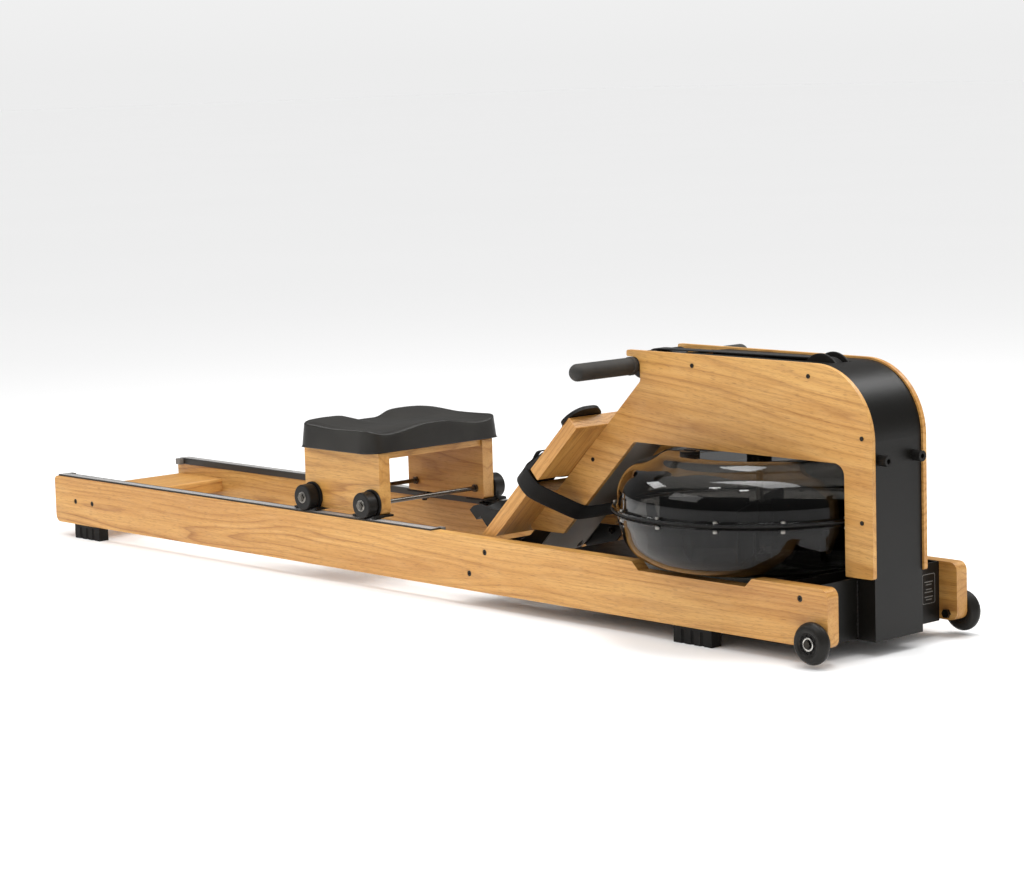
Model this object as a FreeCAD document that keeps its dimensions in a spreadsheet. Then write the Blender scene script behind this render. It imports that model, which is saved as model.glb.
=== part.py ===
import FreeCAD, Part
import math
import os

# A water-resistance rowing machine.  Millimetres, +X towards the tank end, +Z up.
# Stations along the machine are counted from the rear ends of the rails; every node's
# Placement then moves it back by mid_x, so the origin is on the floor at mid length.

V = FreeCAD.Vector
DOC_NAME = "RowingMachine"

SIZES = {
    # overall
    "mid_x": 1048.55,
    "foot_tall": 28.0,
    "rail_long": 2080.0,
    "rail_tall": 93.4,
    "rail_thick": 25.0,
    "rail_inner": 141.0,
    # track strips on the rails
    "track_start": 10.0,
    "track_long": 1150.0,
    "track_wide": 22.0,
    "track_thick": 3.0,
    "track_lip": 12.0,
    # wooden side panels and the steel between them
    "panel_inner": 56.5,
    "panel_thick": 8.0,
    "steel_half": 56.3,
    "sheet": 2.5,
    "post_front": 2080.6,
    "post_deep": 36.6,
    "box_start": 1985.0,
    "leg_angle": 44.1,
    "leg_x": 1299.3,
    "leg_z": 122.0,
    # water tank
    "tank_x": 1790.0,
    "tank_base_z": 110.0,
    "tank_ring": 240.0,
    "tank_wall": 3.5,
    "seam_z": 206.0,
    "shaft_rad": 6.0,
    "drum_rad": 34.0,
    # handle and strap
    "handle_x": 1571.0,
    "handle_z": 424.6,
    "handle_half": 205.0,
    "grip_rad": 14.5,
    "pulley_x": 1940.0,
    "pulley_z": 420.0,
    "pulley_rad": 31.0,
    "strap_wide": 24.0,
    "strap_thick": 2.0,
    # seat
    "seat_x": 888.0,
    "axle_gap": 84.0,
    "roller_rad": 23.4,
    "roller_wide": 22.0,
    "roller_y": 153.5,
    "plate_y": 111.5,
    "plate_thick": 25.0,
    "pad_half": 163.0,
    # transport wheels
    "wheel_x": 2060.0,
    "wheel_z": 38.5,
    "wheel_y": 179.5,
    "wheel_rad": 33.0,
    "wheel_wide": 24.0,
    # footboard
    "board_half": 136.0,
    "board_thick": 24.5,
    "foot_y": 89.0,
    "foot_half": 37.0,
    "foot_strap_wide": 36.0,
}

doc = FreeCAD.newDocument(DOC_NAME)
sheet = doc.addObject("Spreadsheet::Sheet", "Sizes")
for row, (alias, number) in enumerate(SIZES.items(), start=1):
    sheet.set("A%d" % row, alias)
    sheet.set("B%d" % row, str(number))
    sheet.setAlias("B%d" % row, alias)
doc.recompute()

S = SIZES
rail_z0 = S["foot_tall"]
rail_z1 = rail_z0 + S["rail_tall"]
track_z = rail_z1 + S["track_thick"]
rail_outer = S["rail_inner"] + S["rail_thick"]
panel_outer = S["panel_inner"] + S["panel_thick"]
axle_z = track_z + S["roller_rad"] + 0.3
SIDES = (("near", -1), ("far", 1))

nodes = []


# ---------------------------------------------------------------- helpers

def bind(obj, **expressions):
    """Bind properties (dots written as __) to expressions of the sheet."""
    for prop, text in expressions.items():
        obj.setExpression(prop.replace("__", "."), text)


def keep(obj, label, slanted=False):
    """Finish one sub-part: its label, its placement, and its entry in the export."""
    obj.Label = label
    if slanted:
        obj.Placement = FreeCAD.Placement(
            V(0, 0, 0), FreeCAD.Rotation(V(0, 1, 0), -S["leg_angle"]))
        bind(obj, Placement__Base__x="Sizes.leg_x - Sizes.mid_x",
             Placement__Base__z="Sizes.leg_z")
    else:
        own = [text for path, text in obj.ExpressionEngine if path.endswith("Base.x")]
        bind(obj, Placement__Base__x="%s - Sizes.mid_x" % (own[0] if own else "0"))
    nodes.append(obj)
    return obj


def corner_arc(prev, here, nxt, radius):
    """The two tangent points and the middle point of a rounded corner."""
    p0 = V(prev[0], prev[1], 0)
    p1 = V(here[0], here[1], 0)
    p2 = V(nxt[0], nxt[1], 0)
    a = (p0 - p1).normalize()
    b = (p2 - p1).normalize()
    half = a.getAngle(b) / 2
    run = radius / math.tan(half)
    start = p1 + a * run
    end = p1 + b * run
    to_centre = (a + b).normalize()
    middle = p1 + to_centre * (radius / math.sin(half) - radius)
    return start, middle, end


def outline_geometry(points):
    """Lines and arcs of a closed outline; a third entry in a point rounds its corner."""
    count = len(points)
    corners = []
    for i, point in enumerate(points):
        radius = point[2] if len(point) > 2 else 0
        if radius:
            corners.append(corner_arc(points[i - 1], point, points[(i + 1) % count], radius))
        else:
            spot = V(point[0], point[1], 0)
            corners.append((spot, None, spot))
    pieces = []
    for i, (start, middle, end) in enumerate(corners):
        if middle is not None:
            pieces.append(Part.Arc(start, middle, end))
        following = corners[(i + 1) % count][0]
        if (following - end).Length > 1e-6:
            pieces.append(Part.LineSegment(end, following))
    return pieces


def sketch(body, plane, points, name, offset=(0, 0, 0)):
    """A closed sketch on one of the body's own origin planes."""
    item = body.newObject("Sketcher::SketchObject", name)
    base = [f for f in body.Origin.OriginFeatures if f.Role == plane][0]
    item.AttachmentSupport = [(base, "")]
    item.MapMode = "FlatFace"
    item.AttachmentOffset = FreeCAD.Placement(V(*offset), FreeCAD.Rotation())
    item.addGeometry(outline_geometry(points), False)
    return item


def side_body(name, points, y_low, thick, holes=()):
    """A board cut to an outline in XZ, from y_low over a thickness given as an expression."""
    body = doc.addObject("PartDesign::Body", name)
    deep = thick_value(thick)
    outline = sketch(body, "XZ_Plane", points, name + "_outline", (0, 0, -(y_low + deep)))
    pad = body.newObject("PartDesign::Pad", name + "_pad")
    pad.Profile = outline
    bind(pad, Length=thick)
    outline.Visibility = False
    doc.recompute()
    for i, (x, z, radius, depth) in enumerate(holes):
        add_hole(body, "%s_hole%d" % (name, i), x, z, radius, y_low, deep, depth)
    return body


def thick_value(expression):
    """The number behind a plain 'Sizes.alias' expression."""
    return S[expression.split(".")[1]]


def add_hole(body, name, x, z, radius, y_low, deep, depth):
    """A round hole along Y: through when depth is 0, from the low face when positive,
    from the high face when negative."""
    circle = body.newObject("Sketcher::SketchObject", name + "_ring")
    base = [f for f in body.Origin.OriginFeatures if f.Role == "XZ_Plane"][0]
    circle.AttachmentSupport = [(base, "")]
    circle.MapMode = "FlatFace"
    from_high = depth <= 0
    level = y_low + deep if from_high else y_low
    circle.AttachmentOffset = FreeCAD.Placement(V(0, 0, -level), FreeCAD.Rotation())
    circle.addGeometry(Part.Circle(V(x, z, 0), V(0, 0, 1), radius), False)
    before = body.Shape.Volume
    cut = body.newObject("PartDesign::Pocket", name)
    cut.Profile = circle
    cut.Length = abs(depth) if depth else deep + 1
    cut.Reversed = not from_high
    doc.recompute()
    if body.Shape.Volume > before - 1:
        cut.Reversed = from_high
        doc.recompute()
    assert body.Shape.Volume < before - 1, name


def turned(name, points, x, y, z, axis):
    """A turned piece: outline (radius, height) about Z, or (y, radius) about Y."""
    body = doc.addObject("PartDesign::Body", name)
    if axis == "Z":
        outline = sketch(body, "XZ_Plane", points, name + "_outline", (0, 0, -y))
        reference = "V_Axis"
        bind(outline, AttachmentOffset__Base__x=x, AttachmentOffset__Base__y=z)
    else:
        outline = sketch(body, "YZ_Plane", points, name + "_outline", (y, 0, 0))
        reference = "H_Axis"
        bind(outline, AttachmentOffset__Base__z=x, AttachmentOffset__Base__y=z)
    spin = body.newObject("PartDesign::Revolution", name + "_turn")
    spin.Profile = outline
    spin.ReferenceAxis = (outline, [reference])
    spin.Angle = 360.0
    outline.Visibility = False
    return body


def block(name, size, at):
    """A Part box; numbers or sheet expressions in size and at."""
    item = doc.addObject("Part::Box", name)
    for prop, value in zip(("Length", "Width", "Height"), size):
        set_or_bind(item, prop, value)
    for prop, value in zip("xyz", at):
        set_or_bind(item, "Placement.Base." + prop, value)
    return item


def set_or_bind(item, prop, value):
    """Write a property as an expression: a number stays a constant expression."""
    text = value if isinstance(value, str) else repr(float(value))
    item.setExpression(prop, text)


def rod(name, radius, length, at, axis="Z", sides=0):
    """A Part cylinder, or a prism where sides is given, along one axis."""
    item = doc.addObject("Part::Prism" if sides else "Part::Cylinder", name)
    if sides:
        item.Polygon = sides
        set_or_bind(item, "Circumradius", radius)
    else:
        set_or_bind(item, "Radius", radius)
    set_or_bind(item, "Height", length)
    turn = {"Z": FreeCAD.Rotation(), "Y": FreeCAD.Rotation(V(1, 0, 0), -90),
            "X": FreeCAD.Rotation(V(0, 1, 0), 90)}[axis]
    item.Placement = FreeCAD.Placement(V(0, 0, 0), turn)
    for prop, value in zip("xyz", at):
        set_or_bind(item, "Placement.Base." + prop, value)
    return item


def cut(name, base, tool):
    item = doc.addObject("Part::Cut", name)
    item.Base = base
    item.Tool = tool
    return item


def fuse(name, pieces):
    item = doc.addObject("Part::MultiFuse", name)
    item.Shapes = pieces
    item.Refine = True
    return item


def group(name, pieces):
    """Several equal solids kept as one node."""
    item = doc.addObject("Part::Compound", name)
    item.Links = pieces
    return item


def headed_bolt(name, x, y, z, side, shank, head_rad, head_tall, socket=True):
    """A bolt along Y whose head faces outwards on the given side."""
    inward = -side
    low = min(y, y + inward * shank)
    body = rod(name + "_shank", 3.0, shank, (x, low, z), "Y")
    head_low = min(y, y + side * head_tall)
    head = rod(name + "_head", head_rad, head_tall, (x, head_low, z), "Y")
    bolt = fuse(name + "_solid", [body, head])
    if not socket:
        return bolt
    deep = head_tall * 0.6
    top = y + side * head_tall
    recess = rod(name + "_socket", head_rad * 0.5, deep, (x, min(top, top - side * deep), z),
                 "Y", sides=6)
    return cut(name, bolt, recess)


# ---------------------------------------------------------------- rails, tracks, feet

NOTCH_X0 = 1659.5
NOTCH_X1 = 1924.4
NOTCH_RUN = 14.7
notch_z = rail_z0 + 79.5
REAR_BOLTS = ((71.0, 74.2), (129.0, 74.2))
MID_BOLTS = ((1261.8, 57.7), (1302.7, 98.3))
FRONT_BOLT = (2024.0, 101.8)
AXLE_HOLE = (S["wheel_x"], S["wheel_z"])
BOLT_SPOTS = REAR_BOLTS + MID_BOLTS + (FRONT_BOLT,)
BOLT_SINK = 3.0
FLANGE_THICK = 4.0


def build_rails():
    rail_end = S["rail_long"]
    outline = [
        (0, rail_z0, 14), (rail_end, rail_z0, 14), (rail_end, rail_z1, 14),
        (NOTCH_X1, rail_z1, 3), (NOTCH_X1 - NOTCH_RUN, notch_z),
        (NOTCH_X0 + NOTCH_RUN, notch_z), (NOTCH_X0, rail_z1, 3), (0, rail_z1, 10),
    ]
    for side_name, side in SIDES:
        y_low = S["rail_inner"] if side > 0 else -rail_outer
        sink = -BOLT_SINK if side > 0 else BOLT_SINK
        holes = [(x, z, 3.1, 0) for x, z in BOLT_SPOTS]
        holes += [(x, z, 5.3, sink) for x, z in BOLT_SPOTS]
        holes.append((AXLE_HOLE[0], AXLE_HOLE[1], 4.05, 0))
        body = side_body(side_name + "_rail_board", outline, y_low, "Sizes.rail_thick", holes)
        keep(body, side_name + "_rail")


def build_tracks():
    top = track_z
    lip_thick = 2.0
    inner = S["rail_inner"]
    wide = S["track_wide"]
    for side_name, side in SIDES:
        profile = [
            (side * (inner + wide), rail_z1), (side * (inner + wide), top, 1.2),
            (side * (inner - lip_thick), top, 1.2),
            (side * (inner - lip_thick), top - S["track_lip"]),
            (side * inner, top - S["track_lip"]), (side * inner, rail_z1),
        ]
        body = doc.addObject("PartDesign::Body", side_name + "_track_strip")
        outline = sketch(body, "YZ_Plane", profile, side_name + "_track_outline",
                         (0, 0, S["track_start"]))
        pad = body.newObject("PartDesign::Pad", side_name + "_track_pad")
        pad.Profile = outline
        bind(pad, Length="Sizes.track_long")
        keep(body, side_name + "_track")


def build_track_stops():
    """Blocks on the inner lips that the guide rollers run against at both ends."""
    pieces = []
    for side_name, side in SIDES:
        y_edge = side * (S["rail_inner"] - 2.0)
        y_low = min(y_edge, y_edge - side * 10.0)
        for end_name, x in (("rear", S["track_start"] - 1.0),
                            ("front", S["track_start"] + S["track_long"] - 13.0)):
            pieces.append(block("%s_%s_stop" % (side_name, end_name), (14, 10, 12),
                                (x, y_low, track_z - 12.5)))
    keep(group("stop_blocks", pieces), "track_stops")


def build_rear_cross_member():
    profile = [(8, 64.8, 3), (152, 64.8, 3), (152, 92.3, 3), (8, 92.3, 3)]
    body = doc.addObject("PartDesign::Body", "rear_board")
    outline = sketch(body, "XZ_Plane", profile, "rear_board_outline",
                     (0, 0, -S["rail_inner"]))
    pad = body.newObject("PartDesign::Pad", "rear_board_pad")
    pad.Profile = outline
    bind(pad, Length="Sizes.rail_inner * 2")
    doc.recompute()
    pilots = []
    for i, (x, z) in enumerate(REAR_BOLTS):
        pilots.append(rod("rear_pilot%d" % i, 3.1, "Sizes.rail_inner * 2 + 2",
                          (x, "-Sizes.rail_inner - 1", z), "Y"))
    keep(cut("rear_board_drilled", body, fuse("rear_pilots", pilots)), "rear_cross_member")


def build_feet():
    """Four moulded rubber feet, each with three rounded flutes down both long sides."""
    long = 84.0
    wide = 22.0
    flute = 4.0
    pieces = []
    for side_name, side in SIDES:
        for end_name, x in (("rear", 63.0), ("front", 1750.0)):
            tag = "%s_%s_foot" % (side_name, end_name)
            centre_y = side * (S["rail_inner"] + S["rail_thick"] / 2)
            stock = block(tag + "_stock", (long, wide, "Sizes.foot_tall"),
                          (x, centre_y - wide / 2, 0))
            tools = []
            for i in range(1, 4):
                for edge in (-1, 1):
                    tools.append(rod("%s_flute%d_%d" % (tag, i, edge + 1), flute,
                                     S["foot_tall"] - 5.0,
                                     (x + long * i / 4, centre_y + edge * (wide / 2 + 1), -0.1)))
            pieces.append(cut(tag, stock, fuse(tag + "_flutes", tools)))
    keep(group("feet_set", pieces), "rubber_feet")


def build_frame_bolts():
    """The socket-head bolts through both rails, heads sunk in their counterbores."""
    pieces = []
    shanks = (60.0, 60.0, 35.0, 35.0, 40.0)
    nut_tall = 6.0
    for side_name, side in SIDES:
        seat = side * (rail_outer - BOLT_SINK)
        nut_face = side * (S["rail_inner"] - 0.2 - FLANGE_THICK)
        for i, (x, z) in enumerate(BOLT_SPOTS):
            bolt = headed_bolt("%s_bolt%d" % (side_name, i), x, seat, z, side,
                               shanks[i], 4.9, 2.6)
            if (x, z) in MID_BOLTS:
                lock = rod("%s_nut%d" % (side_name, i), 6.6, nut_tall,
                           (x, min(nut_face, nut_face - side * nut_tall), z), "Y", sides=6)
                bolt = fuse("%s_bolt_and_nut%d" % (side_name, i), [bolt, lock])
            pieces.append(bolt)
    for side_name, side in SIDES:
        for i, (x, z) in enumerate(PANEL_SCREWS):
            pieces.append(headed_bolt("%s_screw%d" % (side_name, i), x, side * panel_outer, z,
                                      side, S["panel_thick"], 3.6, 1.2))
    keep(group("bolt_set", pieces), "frame_bolts")


# ---------------------------------------------------------------- upright

PANEL_SCREWS = ((1705.8, 432.4), (1956.7, 430.1), (2064.6, 340.2), (2063.2, 209.3),
                (1469.7, 260.7))
PANEL_TOP = 450.5
WINDOW_TOP = 298.0
WINDOW_FRONT = 2028.0


def leg_point(along, out):
    """(x, z) of a point given along the leg and out from the back of the footboard."""
    angle = math.radians(S["leg_angle"])
    x = S["leg_x"] + along * math.cos(angle) - out * math.sin(angle)
    z = S["leg_z"] + along * math.sin(angle) + out * math.cos(angle)
    return x, z


def leg_x_at(out, z):
    """Station of the slanted line at a distance from the footboard's back, at a height."""
    angle = math.radians(S["leg_angle"])
    along = (z - S["leg_z"] - out * math.cos(angle)) / math.sin(angle)
    return leg_point(along, out)[0]


def build_side_panels():
    leg_wide = 61.0
    foot_z = 127.0
    outline = [
        (1555.5, PANEL_TOP, 4), (1555.5, 439.8, 3), (leg_x_at(0, 400.0), 439.8, 14),
        (leg_x_at(0, 400.0), 400.0, 8), (leg_x_at(0, foot_z), foot_z, 5),
        (leg_x_at(-leg_wide, foot_z), foot_z, 2),
        (leg_x_at(-leg_wide, WINDOW_TOP), WINDOW_TOP, 10),
        (WINDOW_FRONT, WINDOW_TOP, 20), (WINDOW_FRONT, 122.6, 2),
        (2084.5, 122.6, 4), (2084.5, PANEL_TOP, 116),
    ]
    for side_name, side in SIDES:
        y_low = S["panel_inner"] if side > 0 else -panel_outer
        holes = [(x, z, 3.1, 0) for x, z in PANEL_SCREWS]
        body = side_body(side_name + "_panel_board", outline, y_low, "Sizes.panel_thick", holes)
        keep(body, side_name + "_side_panel")


def build_outer_cover():
    """The black steel cover: post front, curved top and top skin, with two folded flanges.
    The skin is slotted along its middle for the strap and the belt pulley."""
    front = S["post_front"]
    top = PANEL_TOP - 3.0
    foot = 24.0
    deep = S["post_deep"]
    bend = 112.0
    tail_x = 1598.0
    drop_x = 1672.0
    flange_x = 1640.0
    drop = 8.0
    skin = S["sheet"]
    outer = [(front, foot), (front, top, bend), (drop_x, top, 60), (tail_x, top - drop)]
    inner = [(tail_x, top - drop - skin), (drop_x, top - skin, 60),
             (front - skin, top - skin, bend - skin), (front - skin, foot)]
    skin_body = side_body("cover_skin", outer + inner, -S["steel_half"], "Sizes.cover_wide")
    flange_inner = [(flange_x, top - 26.0, 4), (front - deep, top - 30.0, 70),
                    (front - deep, foot)]
    flange_outer = [(front - 0.2, foot), (front - 0.2, top - 0.2, bend),
                    (drop_x + 10.0, top - 0.2), (flange_x, top - drop / 2 - 0.6)]
    pieces = [skin_body]
    for side_name, side in SIDES:
        y_low = S["steel_half"] - skin if side > 0 else -S["steel_half"]
        pieces.append(side_body(side_name + "_cover_flange", flange_outer + flange_inner,
                                y_low, "Sizes.sheet"))
    folded = fuse("cover_folded", pieces)
    slot = block("cover_slot", (384, 38, 60), (1590, -19, top - 30))
    keep(cut("cover_slotted", folded, slot), "outer_cover")


def build_inner_frame():
    """The folded steel inside: slanted web behind the tank and the shelf above it."""
    skin = S["sheet"]
    shelf_z = WINDOW_TOP + 6.0
    web_back = -35.0
    web_front = web_back - skin
    knee_out = (leg_x_at(web_front, shelf_z), shelf_z, 12)
    knee_in = (leg_x_at(web_back, shelf_z + skin), shelf_z + skin, 12 + skin)
    end_x = S["post_front"] - S["post_deep"] - 0.5
    low = 58.0
    outline = [
        (leg_x_at(web_front, low), low), knee_out, (end_x, shelf_z),
        (end_x, shelf_z + skin), knee_in, (leg_x_at(web_back, low), low),
    ]
    plate = side_body("web_plate", outline, -(S["steel_half"] - 0.3), "Sizes.web_wide")
    tools = [rod("shaft_hole", 14.0, 40, ("Sizes.tank_x", 0, shelf_z - 10))]
    for side_name, side in SIDES:
        tools.append(rod(side_name + "_web_hole", 6.2, 60, (1290, side * 46.0, 88.2), "X"))
    keep(cut("web_drilled", plate, fuse("web_tools", tools)), "inner_frame")


def build_leg_gussets():
    """The ribs inside the legs' feet that join the web to the foot cross member, with the
    nuts of the legs' own bolts."""
    pieces = []
    thick = 4.0
    face = S["steel_half"] - 0.4
    shape = [(-62, CHANNEL_BACK - 0.2), (-62, -34.7), (60, -34.7), (60, -6.0), (-4, -6.0),
             (-34, CHANNEL_BACK - 0.2)]
    for side_name, side in SIDES:
        y_low = face - thick if side > 0 else -face
        points = [(a, b, 3) for a, b in shape]
        plate = side_body(side_name + "_gusset_plate", points, y_low, "Sizes.gusset_thick")
        inner_face = side * (face - thick)
        heads = []
        for i, (a, b) in enumerate(((22, -20), (48, -20))):
            heads.append(rod("%s_gusset_nut%d" % (side_name, i), 6.0, 5.0,
                             (a, min(inner_face, inner_face - side * 5.0), b), "Y", sides=6))
        pieces.append(fuse(side_name + "_gusset", [plate] + heads))
    keep(group("gusset_pair", pieces), "leg_gussets", slanted=True)


CHANNEL_BACK = 5.0


def build_foot_cross_member():
    """Slanted steel channel between the rails: a back plate under the footboard, and a
    flange at each end folded forwards against the rail."""
    wall = 3.0
    reach = S["rail_inner"] - 0.2
    low = -85.0
    high = -28.0
    fore = -39.5
    top_fore = 20.5
    back = block("foot_channel_back", (high - low, 2 * reach, wall), (low, -reach, CHANNEL_BACK))
    outline = [(low, CHANNEL_BACK + wall), (low, -12.0, 2), (-56.0, fore, 2),
               (top_fore, fore, 2), (high, CHANNEL_BACK + wall)]
    angle = math.radians(S["leg_angle"])
    pieces = [back]
    for side_name, side in SIDES:
        y_low = reach - FLANGE_THICK if side > 0 else -reach
        holes = []
        for x, z in MID_BOLTS:
            run = x - S["leg_x"]
            rise = z - S["leg_z"]
            holes.append((run * math.cos(angle) + rise * math.sin(angle),
                          rise * math.cos(angle) - run * math.sin(angle), 3.1, 0))
        pieces.append(side_body(side_name + "_channel_end", outline, y_low,
                                "Sizes.flange_thick", holes))
    keep(fuse("foot_channel", pieces), "foot_cross_member", slanted=True)


def build_front_cross_box():
    """Open-topped steel box between the rails that carries the post."""
    start = S["box_start"]
    end = S["post_front"] - S["post_deep"]
    wall = 3.0
    low = rail_z0 - 3.0
    tall = rail_z0 + 93.0 - low
    stock = block("front_box_stock", (end - start, "Sizes.rail_inner * 2 - 0.4", tall),
                  (start, "-Sizes.rail_inner + 0.2", low))
    hollow = block("front_box_hollow", (end - start - 2 * wall,
                                        "Sizes.rail_inner * 2 - 6.4", tall),
                   (start + wall, "-Sizes.rail_inner + 3.2", low + wall))
    bores = []
    for side_name, side in SIDES:
        y_low = side * S["rail_inner"] - 8.0
        bores.append(rod(side_name + "_box_bore", 3.1, 16.0,
                         (FRONT_BOLT[0], y_low, FRONT_BOLT[1]), "Y"))
    keep(cut("front_box", stock, fuse("front_box_tools", [hollow] + bores)),
         "front_cross_box")


def build_front_pegs():
    """Two hollow standoffs on the post's front face."""
    pieces = []
    for side_name, side in SIDES:
        at = (S["post_front"], side * 40.0, 305.0)
        stock = rod(side_name + "_peg_stock", 8.6, 16.5, at, "X")
        recess = rod(side_name + "_peg_recess", 4.4, 20.0, (at[0] + 6.0, at[1], at[2]), "X",
                     sides=6)
        pieces.append(cut(side_name + "_peg", stock, recess))
    keep(group("peg_pair", pieces), "front_pegs")


# ---------------------------------------------------------------- deck and tank

def build_deck():
    start = 1408.0
    long = S["box_start"] - start - 1.0
    board = block("deck_stock", (long, "Sizes.rail_inner * 2 - 0.4", 18.0),
                  (start, "-Sizes.rail_inner + 0.2", S["tank_base_z"] - 26.0))
    keep(board, "deck_board")


def build_tank_base():
    """Bright plate and raised ring that the bowl stands on."""
    low = S["tank_base_z"] - 8.0
    plate = block("base_plate", (360, 278, 3), ("Sizes.tank_x - 180", -139, low))
    ring = rod("base_ring", 120.0, 8.0, ("Sizes.tank_x", 0, low))
    hollow = rod("base_hollow", 100.0, 6.0, ("Sizes.tank_x", 0, low + 3))
    keep(cut("base_dished", fuse("base_fused", [plate, ring]), hollow), "tank_base")


FLANGE = 3.0


def bowl_curve(inset):
    """Half profile of the lower bowl, (radius, height over the tank base)."""
    ring = S["tank_ring"]
    floor = inset
    return [(0, floor), (146 - inset / 2, floor, 30), (190 - inset, 9 + floor, 45),
            (219 - inset, 34 + floor / 2, 40), (232 - inset, 78, 30),
            (ring - 8 - inset, S["seam_z"] - S["tank_base_z"])]


def dome_curve(inset):
    """Half profile of the upper dome, from the seam to the middle."""
    seam = S["seam_z"] - S["tank_base_z"]
    top = 294.0 - S["tank_base_z"]
    return [(S["tank_ring"] - 8 - inset, seam), (S["tank_ring"] - 9 - inset, seam + 36, 30),
            (214 - inset, top - 24 - inset, 22), (172 - inset / 2, top - 10 - inset, 20),
            (156, top - inset, 12), (0, top - inset)]


def build_tank():
    wall = S["tank_wall"]
    ring = S["tank_ring"]
    seam = S["seam_z"] - S["tank_base_z"]
    tank_at = ("Sizes.tank_x", 0, "Sizes.tank_base_z")

    bowl = bowl_curve(0)
    bowl_in = bowl_curve(wall)
    bowl_points = bowl[:-1] + [(bowl[-1][0], seam - FLANGE - 2), (ring, seam - FLANGE - 2),
                               (ring, seam - 1), (bowl_in[-1][0], seam - 1)]
    bowl_points += list(reversed(bowl_in[:-1]))
    keep(turned("bowl_turned", bowl_points, *tank_at, "Z"), "tank_bowl")

    dome = dome_curve(0)
    dome_in = dome_curve(wall)
    bore = 12.0
    dome_points = [(dome_in[0][0], seam + 1), (ring, seam + 1), (ring, seam + FLANGE + 2),
                   (dome[0][0], seam + FLANGE + 2)]
    dome_points += dome[1:-1] + [(bore, dome[-1][1]), (bore, dome_in[-1][1])]
    dome_points += list(reversed(dome_in[1:-1]))
    keep(turned("dome_turned", dome_points, *tank_at, "Z"), "tank_dome")

    seal = [(ring - 11, seam - 1), (ring + 1.5, seam - 1), (ring + 1.5, seam + 1),
            (ring - 11, seam + 1)]
    keep(turned("seal_turned", seal, *tank_at, "Z"), "tank_seal")


def build_tank_screws():
    """Screws round the tank's seam, each with its nut underneath."""
    count = 14
    pitch = S["tank_ring"] - 4.2
    pieces = []
    for i in range(count):
        angle = 2 * math.pi * (i + 0.5) / count
        x = S["tank_x"] + pitch * math.cos(angle)
        y = pitch * math.sin(angle)
        head = rod("seam_head%d" % i, 3.4, 3.0, (x, y, S["seam_z"] + 5.05))
        nut = rod("seam_nut%d" % i, 3.6, 6.0, (x, y, S["seam_z"] - 11.05), sides=6)
        pieces += [head, nut]
    keep(group("seam_screws", pieces), "tank_screws")


def build_tank_fittings():
    plug_x = 1725.0
    plug_y = -93.0
    top = 294.0
    cap_tall = 4.5
    cap = rod("plug_cap", 16.5, cap_tall, (plug_x, plug_y, top + 0.05))
    grip = block("plug_grip", (22, 5, 2), (plug_x - 11, plug_y - 2.5, top + cap_tall))
    keep(fuse("plug_fused", [cap, grip]), "filler_plug")

    shaft = S["shaft_rad"] + 0.05
    upper = [(shaft, 0), (11.9, 0), (11.9, 3.6), (20, 3.6), (20, 9), (shaft, 9)]
    lower = [(0, 0), (18, 0), (18, 12), (shaft, 12), (shaft, 3), (0, 3)]
    upper_body = turned("upper_bearing", upper, "Sizes.tank_x", 0, repr(top - 3.5), "Z")
    lower_body = turned("lower_bearing", lower, "Sizes.tank_x", 0,
                        "Sizes.tank_base_z + Sizes.tank_wall", "Z")
    keep(group("bearing_pair", [upper_body, lower_body]), "tank_bearings")


def build_impeller():
    base = S["tank_base_z"] + S["tank_wall"] + 3.2
    top = 372.0
    shaft = rod("impeller_rod", "Sizes.shaft_rad", top - base, ("Sizes.tank_x", 0, base))
    keep(shaft, "impeller_shaft")

    hub = rod("hub_stock", 22.0, 70.0, ("Sizes.tank_x", 0, 140.0))
    blades = []
    for i in range(4):
        blade = block("blade%d" % i, (150, 4, 84), (0, -2, 0))
        angle = 90.0 * i + 30.0
        start = V(18.0, 0, 0)
        start = FreeCAD.Rotation(V(0, 0, 1), angle).multVec(start)
        offset = FreeCAD.Rotation(V(0, 0, 1), angle).multVec(V(0, -2, 0))
        for prop in ("x", "y", "z"):
            blade.setExpression("Placement.Base." + prop, None)
        blade.Placement = FreeCAD.Placement(
            V(S["tank_x"], 0, 133.0) + start + offset, FreeCAD.Rotation(V(0, 0, 1), angle))
        blades.append(blade)
    bore = rod("hub_bore", "Sizes.shaft_rad", 120.0, ("Sizes.tank_x", 0, 120.0))
    keep(cut("paddle_bored", fuse("paddle_fused", [hub] + blades), bore), "impeller_paddle")


def build_strap_drum():
    """Drum on the shaft that the strap turns; a one-way clutch inside drives the shaft."""
    bore = S["shaft_rad"] + 0.05
    rim = S["drum_rad"] + 8.0
    core = S["drum_rad"]
    outline = [(bore, 0), (rim, 0), (rim, 3), (core, 3), (core, 32), (rim, 32), (rim, 35),
               (core - 10, 35), (core - 10, 47), (core - 4, 47), (core - 4, 50), (bore, 50)]
    keep(turned("drum_turned", outline, "Sizes.tank_x", 0, "316.0", "Z"), "strap_drum")


# ---------------------------------------------------------------- handle and belt

CORD_RAD = 3.0
HOUSING_ROD = 5.0
CORD_BEND = HOUSING_ROD + CORD_RAD + 0.2
CORD_DOWN_X = 2060.0
CORD_Z = 357.0
CORD_LOW_Z = 150.0


HUB_HALF = 50.0
HUB_RAD = 22.4


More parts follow.
